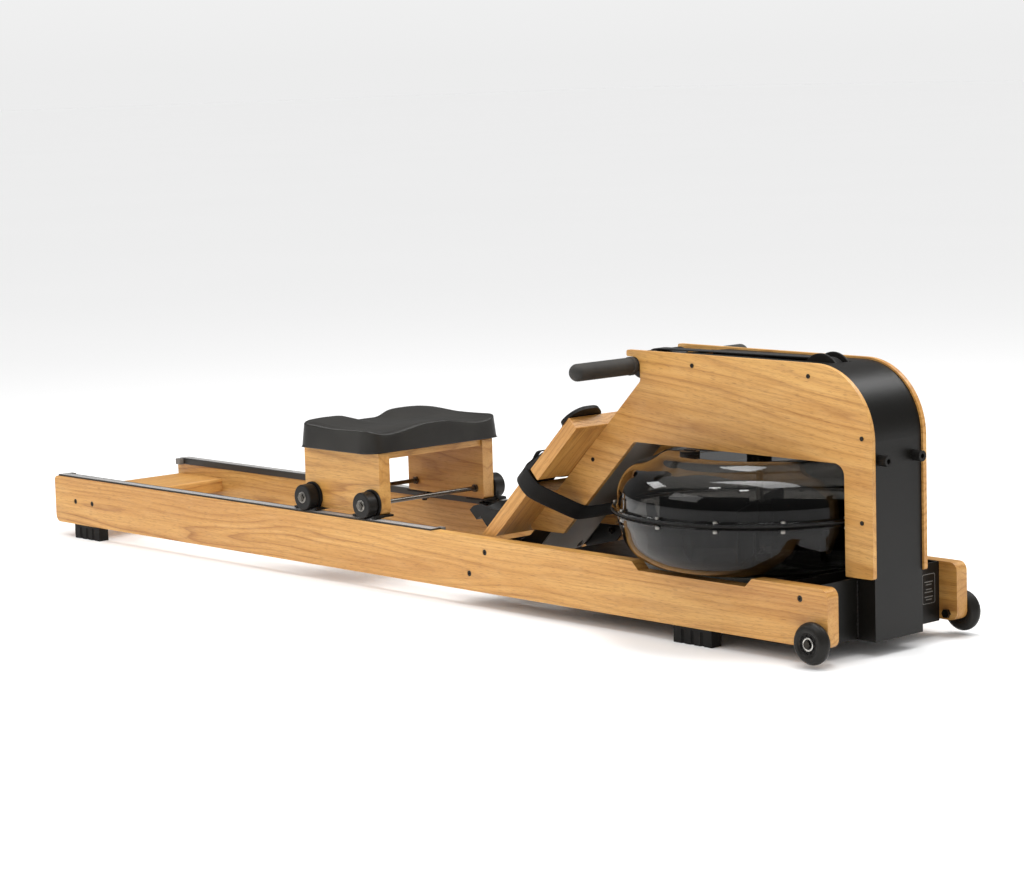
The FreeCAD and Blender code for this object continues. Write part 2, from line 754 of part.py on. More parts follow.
def build_handle():
    """The bar with the moulded hub the strap is fixed to, and a foam grip on each end."""
    half = S["handle_half"]
    bar_rad = 10.5
    grip_long = 138.0
    at = ("Sizes.handle_x", 0, "Sizes.handle_z")
    bar_half = half - 8.0
    bar = [(-bar_half, 0), (-bar_half, bar_rad, 2), (-HUB_HALF, bar_rad),
           (-HUB_HALF, HUB_RAD, 4), (HUB_HALF, HUB_RAD, 4), (HUB_HALF, bar_rad),
           (bar_half, bar_rad, 2), (bar_half, 0)]
    keep(turned("bar_turned", bar, *at, "Y"), "handle_bar")

    grip = S["grip_rad"]
    fit = bar_rad + 0.05
    for side_name, side in SIDES:
        outer = side * half
        inner = side * (half - grip_long)
        tip = side * (bar_half + 0.1)
        points = [(outer, 0), (outer, grip, grip - 1.0), (inner + side * 8, grip),
                  (inner + side * 8, grip + 1.0, 0.9), (inner, grip + 1.0, 0.9),
                  (inner, fit), (tip, fit), (tip, 0)]
        keep(turned(side_name + "_grip_turned", points, *at, "Y"), side_name + "_grip")


def build_belt_pulley():
    rim = S["pulley_rad"]
    flange = rim + 10.0
    half = S["strap_wide"] / 2 + 1.0
    outline = [(-half - 3.5, 5.05), (half + 3.5, 5.05), (half + 3.5, flange, 1.2),
               (half, flange, 1.2), (half, rim), (-half, rim), (-half, flange, 1.2),
               (-half - 3.5, flange, 1.2)]
    keep(turned("pulley_turned", outline, "Sizes.pulley_x", 0, "Sizes.pulley_z", "Y"),
         "belt_pulley")


def build_housing_axles():
    """Three cross rods between the cover's flanges: the pulley's axle, the guide the
    recoil cord bends over, and the pin its lower end is tied to."""
    spots = (("pulley_axle_rod", S["pulley_x"], S["pulley_z"]),
             ("cord_guide_rod", CORD_DOWN_X - CORD_BEND, CORD_Z - CORD_BEND),
             ("cord_anchor_rod", CORD_DOWN_X, CORD_LOW_Z - HOUSING_ROD - 0.1))
    rods = []
    for name, x, z in spots:
        rods.append(rod(name, HOUSING_ROD, "(Sizes.steel_half - Sizes.sheet - 0.2) * 2",
                        (x, "-Sizes.steel_half + Sizes.sheet + 0.2", z), "Y"))
    keep(group("housing_rods", rods), "housing_axles")


def band(name, path, thick):
    """A flat band of even thickness that follows a path of (x, z, corner radius) points."""
    half = thick / 2
    left = offset_path(path, half)
    right = offset_path(path, -half)
    body = doc.addObject("PartDesign::Body", name)
    outline = sketch(body, "XZ_Plane", left + list(reversed(right)), name + "_outline",
                     (0, 0, -S["strap_wide"] / 2))
    pad = body.newObject("PartDesign::Pad", name + "_pad")
    pad.Profile = outline
    bind(pad, Length="Sizes.strap_wide")
    return body


def offset_path(path, gap):
    """The path moved sideways by gap, corner radii kept concentric."""
    moved = []
    last = len(path) - 1
    for i, point in enumerate(path):
        here = V(point[0], point[1], 0)
        before = V(path[i - 1][0], path[i - 1][1], 0) if i else None
        after = V(path[i + 1][0], path[i + 1][1], 0) if i < last else None
        dir_in = (here - before).normalize() if before else None
        dir_out = (after - here).normalize() if after else None
        dir_in = dir_in or dir_out
        dir_out = dir_out or dir_in
        normal_in = V(-dir_in.y, dir_in.x, 0)
        normal_out = V(-dir_out.y, dir_out.x, 0)
        bisector = (normal_in + normal_out).normalize()
        shift = gap / bisector.dot(normal_in)
        spot = here + bisector * shift
        radius = point[2] if len(point) > 2 else 0
        turn = dir_in.x * dir_out.y - dir_in.y * dir_out.x
        grown = radius - gap * math.copysign(1.0, turn) if radius else 0
        moved.append((spot.x, spot.y, grown) if grown > 0 else (spot.x, spot.y))
    return moved


def build_straps():
    """The pull strap from the handle to the pulley, and its run on down to the drum."""
    thick = S["strap_thick"]
    rim = S["pulley_rad"]
    top = S["pulley_z"] + rim + thick / 2 + 0.3
    start = (S["handle_x"] + 2.0, S["handle_z"] + HUB_RAD + thick / 2 + 0.3)
    pull = [start, (S["pulley_x"] - 2.0, top)]
    keep(band("pull_band", pull, thick), "pull_strap")

    wrap = rim + thick / 2 + 0.3
    lead_x = S["pulley_x"] - 40.0
    lead_z = S["pulley_z"] - wrap - 10.0
    drive = [(S["pulley_x"] - 1.0, top), (S["pulley_x"] + wrap, top, wrap - 0.1),
             (S["pulley_x"] + wrap, S["pulley_z"] - wrap, wrap - 0.1),
             (S["pulley_x"] - 6.0, S["pulley_z"] - wrap, 20), (lead_x, lead_z)]
    wrapped = band("drive_band", drive, thick)
    drum_y = S["drum_rad"] + thick / 2 + 0.3
    drum_z = 333.5
    twist = doc.addObject("Part::Feature", "drive_twist")
    stations = []
    steps = 6
    for i in range(steps + 1):
        share = i / steps
        centre = V(lead_x + 0.5 + share * (S["tank_x"] + 20.0 - lead_x), share * drum_y,
                   lead_z + share * (drum_z - lead_z))
        stations.append(strap_section(centre, 90.0 * share, thick))
    twist.Shape = Part.makeLoft(stations, True, True)
    keep(fuse("drive_fused", [wrapped, twist]), "drive_strap")


def strap_section(centre, turn, thick):
    """The strap's cross-section across X, turned about its own run."""
    half = S["strap_wide"] / 2
    spin = FreeCAD.Rotation(V(1, 0, 0), turn)
    corners = [V(0, half, thick / 2), V(0, -half, thick / 2), V(0, -half, -thick / 2),
               V(0, half, -thick / 2)]
    spots = [centre + spin.multVec(corner) for corner in corners]
    return Part.makePolygon(spots + spots[:1])


def build_recoil_cord():
    """Elastic cord from the drum's upper groove over the guide and down inside the post."""
    side_y = -(S["drum_rad"] - 10.0 + CORD_RAD + 0.3)
    bend_x = CORD_DOWN_X - CORD_BEND
    bend_z = CORD_Z - CORD_BEND
    slant = CORD_BEND * math.sqrt(0.5)
    start = V(S["tank_x"], side_y, CORD_Z)
    over = V(bend_x, side_y, CORD_Z)
    middle = V(bend_x + slant, side_y, bend_z + slant)
    down = V(CORD_DOWN_X, side_y, bend_z)
    end = V(CORD_DOWN_X, side_y, CORD_LOW_Z)
    runs = [Part.makeLine(start, over), Part.Arc(over, middle, down).toShape(),
            Part.makeLine(down, end)]
    ring = Part.Wire(Part.makeCircle(CORD_RAD, start, V(1, 0, 0)))
    cord = Part.Wire(runs).makePipeShell([ring], True, True)
    item = doc.addObject("Part::Feature", "recoil_line")
    item.Shape = cord
    keep(item, "recoil_cord")


# ---------------------------------------------------------------- footboard

LOWER_END = 111.5
UPPER_START = 152.0
UPPER_END = 288.0


def build_footboards():
    """Two wooden boards in one slanted plane, with a gap between for the foot straps."""
    angle = math.radians(S["leg_angle"])
    thick = S["board_thick"]
    back = 0.1
    foot_cut = thick / math.tan(angle)
    lower = [(0.2, back), (LOWER_END, back, 2), (LOWER_END, thick, 2), (0.2 - foot_cut, thick)]
    upper = [(UPPER_START, back, 2), (UPPER_END, back, 2), (UPPER_END, thick, 2),
             (UPPER_START, thick, 2)]
    for label, points in (("footboard_lower", lower), ("footboard_upper", upper)):
        body = doc.addObject("PartDesign::Body", label + "_board")
        outline = sketch(body, "XZ_Plane", points, label + "_outline",
                         (0, 0, -S["board_half"]))
        pad = body.newObject("PartDesign::Pad", label + "_pad")
        pad.Profile = outline
        bind(pad, Length="Sizes.board_half * 2")
        keep(body, label, slanted=True)


def build_foot_plates():
    """Sliding foot rests: a plate with a round head and a wavy heel cup at its foot."""
    half = S["foot_half"]
    wall = 4.0
    base = S["board_thick"] + 0.3
    inner_edge = S["foot_y"] - half
    outer_edge = S["foot_y"] + half
    head_edge = outer_edge + 13.0
    shape = [(4, inner_edge, 8), (306, inner_edge + 5, 36), (306, head_edge, 34),
             (270, head_edge, 10), (256, outer_edge, 10), (4, outer_edge, 8)]
    cup_shape = [(-15, base), (40, base), (19, 42.5, 9), (8.3, 57.4), (-3, 72, 12),
                 (-16, 79.5, 6), (-29, 80.5), (-27.5, 57.3), (-15.5, 55.8)]
    for side_name, side in SIDES:
        centre = side * S["foot_y"]
        body = doc.addObject("PartDesign::Body", side_name + "_sole")
        points = [(along, side * across, radius) for along, across, radius in shape]
        outline = sketch(body, "XY_Plane", points, side_name + "_sole_outline", (0, 0, base))
        pad = body.newObject("PartDesign::Pad", side_name + "_sole_pad")
        pad.Profile = outline
        bind(pad, Length="Sizes.sole_thick")
        cup = side_body(side_name + "_cup_stock", cup_shape, centre - half, "Sizes.foot_wide")
        floor = base + 5.0
        heel = rod(side_name + "_cup_hollow", half - wall, 80.0, (22.0, centre, floor))
        lip = rod(side_name + "_cup_lip", half - wall, 40.0, (8.0, centre, 61.0))
        room = block(side_name + "_cup_room", (60, 2 * (half - wall), 80.0),
                     (22.0, centre - half + wall, floor))
        hollow = fuse(side_name + "_cup_tools", [heel, lip, room])
        cup_cut = cut(side_name + "_cup", cup, hollow)
        keep(fuse(side_name + "_foot_rest", [body, cup_cut]), side_name + "_foot_plate",
             slanted=True)


def build_foot_strap():
    """One closed webbing loop in the gap of the board: over both feet, round the board's
    edges and across the front of the legs.  A buckle with its loose end lies on the board
    at both edges."""
    thick = 2.0
    start = 113.8
    edge = S["board_half"] + 2.6
    top = S["board_thick"] + 9.0
    flat = S["board_thick"] + 2.7
    hump = top + 26.0
    foot = S["foot_y"]
    leg = panel_outer + 2.2
    outer = [(-edge, top, 6), (-foot - 20, hump, 16), (-foot + 20, hump, 16), (-46, flat, 6),
             (46, flat, 6), (foot - 20, hump, 16), (foot + 20, hump, 16), (edge, top, 6),
             (edge, -4, 6), (leg, -63.5, 5), (-leg, -63.5, 5), (-edge, -4, 6)]
    ring = loop_offset(outer, thick)
    body = doc.addObject("PartDesign::Body", "strap_loop")
    face = sketch(body, "YZ_Plane", outer, "strap_loop_outline", (0, 0, start))
    pad = body.newObject("PartDesign::Pad", "strap_loop_pad")
    pad.Profile = face
    bind(pad, Length="Sizes.foot_strap_wide")
    inner = sketch(body, "YZ_Plane", ring, "strap_loop_hollow",
                   (0, 0, start + S["foot_strap_wide"]))
    pocket = body.newObject("PartDesign::Pocket", "strap_loop_pocket")
    pocket.Profile = inner
    bind(pocket, Length="Sizes.foot_strap_wide + 1")
    low = S["board_thick"] + 0.4
    buckle = [(start + 20, low), (start + 20, top), (156, low + 11.5, 4), (168, low + 7.5, 8),
              (185, low + 12, 3), (200, low + 2, 1)]
    pieces = [body]
    for side_name, side in SIDES:
        y_low = min(side * (edge - 1.2), side * (edge - 1.2 - S["buckle_wide"]))
        pieces.append(side_body(side_name + "_strap_buckle", buckle, y_low,
                                "Sizes.buckle_wide"))
    keep(fuse("strap_with_buckles", pieces), "foot_strap", slanted=True)


def loop_offset(points, gap):
    """A closed clockwise outline moved inwards by gap."""
    moved = []
    count = len(points)
    for i, point in enumerate(points):
        here = V(point[0], point[1], 0)
        before = V(points[i - 1][0], points[i - 1][1], 0)
        after = V(points[(i + 1) % count][0], points[(i + 1) % count][1], 0)
        dir_in = (here - before).normalize()
        dir_out = (after - here).normalize()
        normal_in = V(dir_in.y, -dir_in.x, 0)
        normal_out = V(dir_out.y, -dir_out.x, 0)
        bisector = (normal_in + normal_out).normalize()
        spot = here + bisector * (gap / bisector.dot(normal_in))
        turn = dir_in.x * dir_out.y - dir_in.y * dir_out.x
        radius = point[2] + gap if turn > 0 else max(point[2] - gap, 1.0)
        moved.append((spot.x, spot.y, radius))
    return moved


# ---------------------------------------------------------------- seat

def build_seat():
    centre = S["seat_x"]
    gap = S["axle_gap"]
    inner = S["plate_y"]
    plate_low = track_z + 5.0
    plate_high = 240.1
    plate_rear = centre - 107.0
    plate_front = centre + 105.0
    axles = (centre - gap, centre + gap)

    for side_name, side in SIDES:
        y_low = inner if side > 0 else -(inner + S["plate_thick"])
        points = [(plate_rear, plate_low, 4), (plate_front, plate_low, 4),
                  (plate_front, plate_high, 2), (plate_rear, plate_high, 2)]
        holes = [(x, axle_z, 4.1, 0) for x in axles]
        body = side_body(side_name + "_seat_board", points, y_low, "Sizes.plate_thick", holes)
        keep(body, side_name + "_seat_plate")

    under = block("seat_board_stock", (200.0, "Sizes.plate_y * 2 - 0.4", 12.0),
                  (centre - 100.0, "-Sizes.plate_y + 0.2", plate_high - 12.1))
    keep(under, "seat_base")

    pad_low = 240.3
    front = centre + 111.0
    rear = centre - 104.0
    half = S["pad_half"]
    stock = doc.addObject("PartDesign::Body", "pad_stock")
    outline = sketch(stock, "XY_Plane",
                     [(rear, -half, 26), (front, -half, 26), (front, half, 26),
                      (rear, half, 26)], "pad_outline", (0, 0, pad_low))
    pad = stock.newObject("PartDesign::Pad", "pad_raise")
    pad.Profile = outline
    bind(pad, Length="Sizes.pad_tall")
    keep(stock, "seat_pad")

    rods = []
    nuts = []
    rod_end = S["roller_y"] + S["roller_wide"] / 2 + 5.0
    for i, x in enumerate(axles):
        rods.append(rod("axle_rod%d" % i, 4.0, 2 * rod_end, (x, -rod_end, axle_z), "Y"))
        for side_name, side in SIDES:
            outer_face = side * (S["roller_y"] + S["roller_wide"] / 2 + 0.4)
            nuts.append(nut("%s_outer_nut%d" % (side_name, i), x, outer_face, side * 3.8))
            inner_face = side * (inner - 0.1)
            nuts.append(nut("%s_inner_nut%d" % (side_name, i), x, inner_face, -side * 5.0))
    keep(group("axle_rods", rods), "seat_axles")
    keep(group("axle_nut_set", nuts), "axle_nuts")

    for end_name, x in zip(("rear", "front"), axles):
        for side_name, side in SIDES:
            build_roller(side_name + "_" + end_name, x, side)
    build_roller_guards(axles)


def nut(name, x, y, reach):
    """A hex nut on an axle rod, from face y over a signed reach."""
    stock = rod(name + "_hex", 7.5, abs(reach), (x, min(y, y + reach), axle_z), "Y", sides=6)
    bore = rod(name + "_bore", 4.0, abs(reach) + 2, (x, min(y, y + reach) - 1, axle_z), "Y")
    return cut(name, stock, bore)


def build_roller(tag, x, side):
    half = S["roller_wide"] / 2
    rad = S["roller_rad"]
    fit = 4.05
    outline = [(-half, fit), (-half, rad, 2.5), (half, rad, 2.5), (half, fit)]
    centre = side * S["roller_y"]
    body = turned(tag + "_roller_turned", outline, repr(x), centre, repr(axle_z), "Y")
    keep(body, tag + "_roller")

    guide_y = side * (S["rail_inner"] - 2.0 - 9.4)
    shape = [(2.55, 0), (9.0, 0, 1.5), (9.0, 8.0, 1.5), (2.55, 8.0)]
    guide = turned(tag + "_guide_turned", shape, repr(x), guide_y, repr(track_z - 13.0), "Z")
    keep(guide, tag + "_guide_roller")


def build_roller_guards(axles):
    """Black brackets under the side plates: the arms that hold the guide rollers, and the
    shoes in front of and behind each roller."""
    pieces = []
    inner = S["plate_y"]
    for i, x in enumerate(axles):
        for side_name, side in SIDES:
            tag = "%s_guard%d" % (side_name, i)
            guide_y = side * (S["rail_inner"] - 11.4)
            foot_low = track_z + 1.2
            y_span = sorted((side * inner, side * (inner + S["plate_thick"])))
            plate = block(tag + "_plate", (56, y_span[1] - y_span[0], 3.6),
                          (x - 28, y_span[0], foot_low))
            post = rod(tag + "_pin", 2.5, 19.0, (x, guide_y, foot_low - 16.0))
            cap = rod(tag + "_cap", 5.0, 2.0, (x, guide_y, foot_low - 17.2))
            parts = [plate, post, cap]
            for end in (-1, 1):
                y_shoe = side * (inner + S["plate_thick"])
                reach = side * 22.0
                arm_low = min(y_shoe - side * 1.0, y_shoe + reach)
                parts.append(block("%s_shoe%d" % (tag, end + 1), (5, 23.0, 3.6),
                                   (x + end * 26.0 - 2.5, arm_low, foot_low)))
            pieces.append(fuse(tag, parts))
    keep(group("guard_set", pieces), "roller_guards")


# ---------------------------------------------------------------- transport wheels

def build_wheels():
    pieces = []
    rad = S["wheel_rad"]
    half = S["wheel_wide"] / 2
    hub = 17.0
    for side_name, side in SIDES:
        centre = side * S["wheel_y"]
        place = ("Sizes.wheel_x", centre, "Sizes.wheel_z", "Y")
        tyre = [(-half + 2, hub), (-half, hub + 4, 2), (-half, rad - 6, 6), (0, rad + 3, 11),
                (half, rad - 6, 6), (half, hub + 4, 2), (half - 2, hub)]
        keep(turned(side_name + "_tyre_turned", tyre, *place), side_name + "_wheel_tyre")
        core = [(-10, 4.05), (-10, 9, 1), (-8.5, 9), (-8.5, hub - 0.1), (8.5, hub - 0.1),
                (8.5, 9), (10, 9, 1), (10, 4.05)]
        keep(turned(side_name + "_hub_turned", core, *place), side_name + "_wheel_hub")
        outer = side * (S["wheel_y"] + 10.4)
        inner = side * (S["rail_inner"] - 6.0)
        low, high = sorted((outer, inner))
        shank = rod(side_name + "_axle_shank", 4.0, high - low,
                    ("Sizes.wheel_x", low, "Sizes.wheel_z"), "Y")
        head = rod(side_name + "_axle_head", 6.0, 3.0,
                   ("Sizes.wheel_x", min(outer, outer + side * 3.0), "Sizes.wheel_z"), "Y")
        lock = rod(side_name + "_axle_nut", 7.5, 5.6,
                   ("Sizes.wheel_x", min(inner, inner + side * 5.6), "Sizes.wheel_z"), "Y",
                   sides=6)
        pieces.append(fuse(side_name + "_axle", [shank, head, lock]))
    keep(group("axle_pair", pieces), "wheel_axles")


# ---------------------------------------------------------------- build and export

def extra_sizes():
    """Sizes worked out from the driving ones, kept in the sheet for the expressions."""
    worked_out = {
        "cover_wide": "=2 * steel_half",
        "web_wide": "=2 * (steel_half - 0.3)",
        "foot_wide": "=2 * foot_half",
        "gusset_thick": "4",
        "flange_thick": "4",
        "sole_thick": "6",
        "buckle_wide": "10.4",
        "pad_tall": "46",
    }
    first = len(SIZES) + 1
    for line, (alias, text) in enumerate(worked_out.items(), start=first):
        sheet.set("A%d" % line, alias)
        sheet.set("B%d" % line, text)
        sheet.setAlias("B%d" % line, alias)
    doc.recompute()
    for alias in worked_out:
        SIZES[alias] = float(getattr(sheet, alias))


def build_all():
    extra_sizes()
    build_rails()
    build_tracks()
    build_track_stops()
    build_rear_cross_member()
    build_feet()
    build_frame_bolts()
    build_side_panels()
    build_outer_cover()
    build_inner_frame()
    build_leg_gussets()
    build_foot_cross_member()
    build_front_cross_box()
    build_front_pegs()
    build_deck()
    build_tank_base()
    build_tank()
    build_tank_screws()
    build_tank_fittings()
    build_impeller()
    build_strap_drum()
    build_handle()
    build_belt_pulley()
    build_housing_axles()
    build_straps()
    build_recoil_cord()
    build_footboards()
    build_foot_plates()
    build_foot_strap()
    build_seat()
    build_wheels()
    doc.recompute()


def export_all():
    for obj in doc.Objects:
        if "Invalid" in obj.State or "Error" in obj.State:
            raise RuntimeError("%s: %s" % (obj.Name, obj.State))
    os.makedirs("parts", exist_ok=True)
    for obj in nodes:
        shape = obj.Shape
        if shape.isNull() or not shape.isValid() or not shape.Solids:
            raise RuntimeError("bad shape: " + obj.Label)
        shape.exportStep("parts/%s.step" % obj.Label)


build_all()
export_all()
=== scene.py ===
import math
import random

import bmesh
import bpy
from mathutils import Matrix, Vector, noise


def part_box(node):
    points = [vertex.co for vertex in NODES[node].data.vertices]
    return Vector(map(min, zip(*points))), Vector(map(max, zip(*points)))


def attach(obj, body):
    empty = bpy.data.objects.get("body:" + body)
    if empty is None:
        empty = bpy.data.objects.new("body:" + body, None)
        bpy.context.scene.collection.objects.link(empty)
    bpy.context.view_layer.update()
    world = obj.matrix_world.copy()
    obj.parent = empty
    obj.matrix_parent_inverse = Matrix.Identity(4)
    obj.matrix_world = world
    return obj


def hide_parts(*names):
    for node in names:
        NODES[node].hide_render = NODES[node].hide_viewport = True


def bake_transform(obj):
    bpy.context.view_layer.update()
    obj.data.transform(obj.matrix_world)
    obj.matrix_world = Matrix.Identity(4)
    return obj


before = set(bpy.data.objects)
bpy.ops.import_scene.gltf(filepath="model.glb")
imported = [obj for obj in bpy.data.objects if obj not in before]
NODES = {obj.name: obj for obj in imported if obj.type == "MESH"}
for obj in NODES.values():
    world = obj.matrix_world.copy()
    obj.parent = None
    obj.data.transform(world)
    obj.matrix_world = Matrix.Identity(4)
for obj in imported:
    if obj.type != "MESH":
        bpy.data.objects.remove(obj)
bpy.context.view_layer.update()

# A water-resistance rowing machine: oak frame, black steel, clear tank.
# Metres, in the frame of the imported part: +X towards the tank, +Y to the far rail, +Z up.

SIDES = (("near", -1), ("far", 1))
CORNERS = [(side_name, side, end_name) for side_name, side in SIDES
           for end_name in ("rear", "front")]
MM = 0.001


# ------ small helpers

def srgb(red, green, blue, alpha=1.0):
    """A linear colour from 0-255 display values."""
    def channel(value):
        share = value / 255
        return share / 12.92 if share <= 0.04045 else ((share + 0.055) / 1.055) ** 2.4
    return (channel(red), channel(green), channel(blue), alpha)


def centre_of(node):
    low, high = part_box(node)
    return (low + high) / 2


def placed(name, mesh, material, smooth):
    """An object in the scene with this mesh, all in one material."""
    obj = bpy.data.objects.new(name, mesh)
    bpy.context.scene.collection.objects.link(obj)
    mesh.materials.append(material)
    for poly in mesh.polygons:
        poly.use_smooth = smooth
    return obj


def mesh_object(name, verts, faces, material, smooth=True):
    mesh = bpy.data.meshes.new(name)
    mesh.from_pydata([tuple(v) for v in verts], [], faces)
    mesh.validate()
    return placed(name, mesh, material, smooth)


def bmesh_object(name, work, material, smooth=True):
    bmesh.ops.recalc_face_normals(work, faces=work.faces)
    mesh = bpy.data.meshes.new(name)
    work.to_mesh(mesh)
    work.free()
    return placed(name, mesh, material, smooth)


def face_outwards(obj):
    """Turn all faces of a closed mesh to the outside."""
    work = bmesh.new()
    work.from_mesh(obj.data)
    bmesh.ops.recalc_face_normals(work, faces=work.faces)
    work.to_mesh(obj.data)
    work.free()


def lathe(work, profile, centre, axis, steps):
    """Add a turned ring, disc or shell to work: profile is (radius, height) points."""
    rings = []
    for radius, height in profile:
        if radius < 1e-6:
            rings.append([work.verts.new(turned_point(0, height, 0, centre, axis))])
            continue
        ring = []
        for i in range(steps):
            angle = 2 * math.pi * i / steps
            ring.append(work.verts.new(turned_point(radius, height, angle, centre, axis)))
        rings.append(ring)
    for first, second in zip(rings, rings[1:]):
        bridge(work, first, second)


def turned_point(radius, height, angle, centre, axis):
    """A point at an angle round centre, about the Y or the Z axis."""
    a = radius * math.cos(angle)
    b = radius * math.sin(angle)
    offset = (a, height, b) if axis == "Y" else (a, b, height)
    return Vector(centre) + Vector(offset)


def bridge(work, first, second):
    """Faces between two rings, either of which may be a single point."""
    count = max(len(first), len(second))
    for i in range(count):
        j = (i + 1) % count
        if len(first) == 1:
            work.faces.new((first[0], second[i], second[j]))
        elif len(second) == 1:
            work.faces.new((first[i], first[j], second[0]))
        else:
            work.faces.new((first[i], first[j], second[j], second[i]))


def bevel(obj, width, segments=2):
    """Ease the edges sharper than 40 degrees."""
    mod = obj.modifiers.new("eased", "BEVEL")
    mod.width = width
    mod.segments = segments
    mod.limit_method = "ANGLE"
    mod.angle_limit = math.radians(40)


def use(material, *names):
    """Give CAD nodes this material in all their slots."""
    for name in names:
        obj = NODES[name]
        if not obj.material_slots:
            obj.data.materials.append(material)
        for held in obj.material_slots:
            held.material = material


# ------ materials

class Graph:
    """A small builder for a material's nodes."""

    def __init__(self, name):
        self.material = bpy.data.materials.new(name)
        self.material.use_nodes = True
        self.tree = self.material.node_tree
        self.shader = self.tree.nodes["Principled BSDF"]

    def node(self, kind, **inputs):
        made = self.tree.nodes.new(kind)
        for key, value in inputs.items():
            self.set(made, key, value)
        return made

    def set(self, node, key, value):
        """Link or set an input, given by name with _ for spaces, or by number as i0, i1."""
        socket = node.inputs[int(key[1:])] if key[0] == "i" and key[1:].isdigit() \
            else node.inputs[key.replace("_", " ")]
        if isinstance(value, bpy.types.NodeSocket):
            self.tree.links.new(value, socket)
        else:
            socket.default_value = value

    def coords(self, scale=(1, 1, 1), offset=(0, 0, 0), turn=(0, 0, 0)):
        place = self.node("ShaderNodeTexCoord")
        mapping = self.node("ShaderNodeMapping", Vector=place.outputs["Object"],
                            Scale=scale, Location=offset, Rotation=turn)
        return mapping.outputs["Vector"]

    def noise(self, vector, scale, detail=3.0, rough=0.5, distortion=0.0):
        made = self.node("ShaderNodeTexNoise", Vector=vector, Scale=scale, Detail=detail,
                         Roughness=rough, Distortion=distortion)
        return made.outputs["Fac"]

    def math(self, operation, first, second=0.0):
        made = self.node("ShaderNodeMath", i0=first, i1=second)
        made.operation = operation
        return made.outputs[0]

    def ramp(self, factor, stops):
        made = self.node("ShaderNodeValToRGB", Fac=factor)
        line = made.color_ramp
        while len(line.elements) < len(stops):
            line.elements.new(0.5)
        for element, (place, colour) in zip(line.elements, stops):
            element.position = place
            element.color = colour if len(colour) == 4 else (*colour, 1)
        return made.outputs["Color"]

    def grey(self, factor, low, high, start=0.0, end=1.0):
        """A value that goes from low to high as factor goes from start to end."""
        made = self.node("ShaderNodeMapRange", Value=factor, From_Min=start, From_Max=end,
                         To_Min=low, To_Max=high)
        return made.outputs["Result"]

    def mix(self, factor, first, second, blend="MIX"):
        made = self.node("ShaderNodeMix")
        made.data_type = "RGBA"
        made.blend_type = blend
        for key, value in (("i0", factor), ("i6", first), ("i7", second)):
            self.set(made, key, value)
        return made.outputs[2]

    def bump(self, height, strength, distance):
        made = self.node("ShaderNodeBump", Height=height, Strength=strength,
                         Distance=distance)
        return made.outputs["Normal"]

    def finish(self, **inputs):
        for key, value in inputs.items():
            self.set(self.shader, key, value)
        return self.material


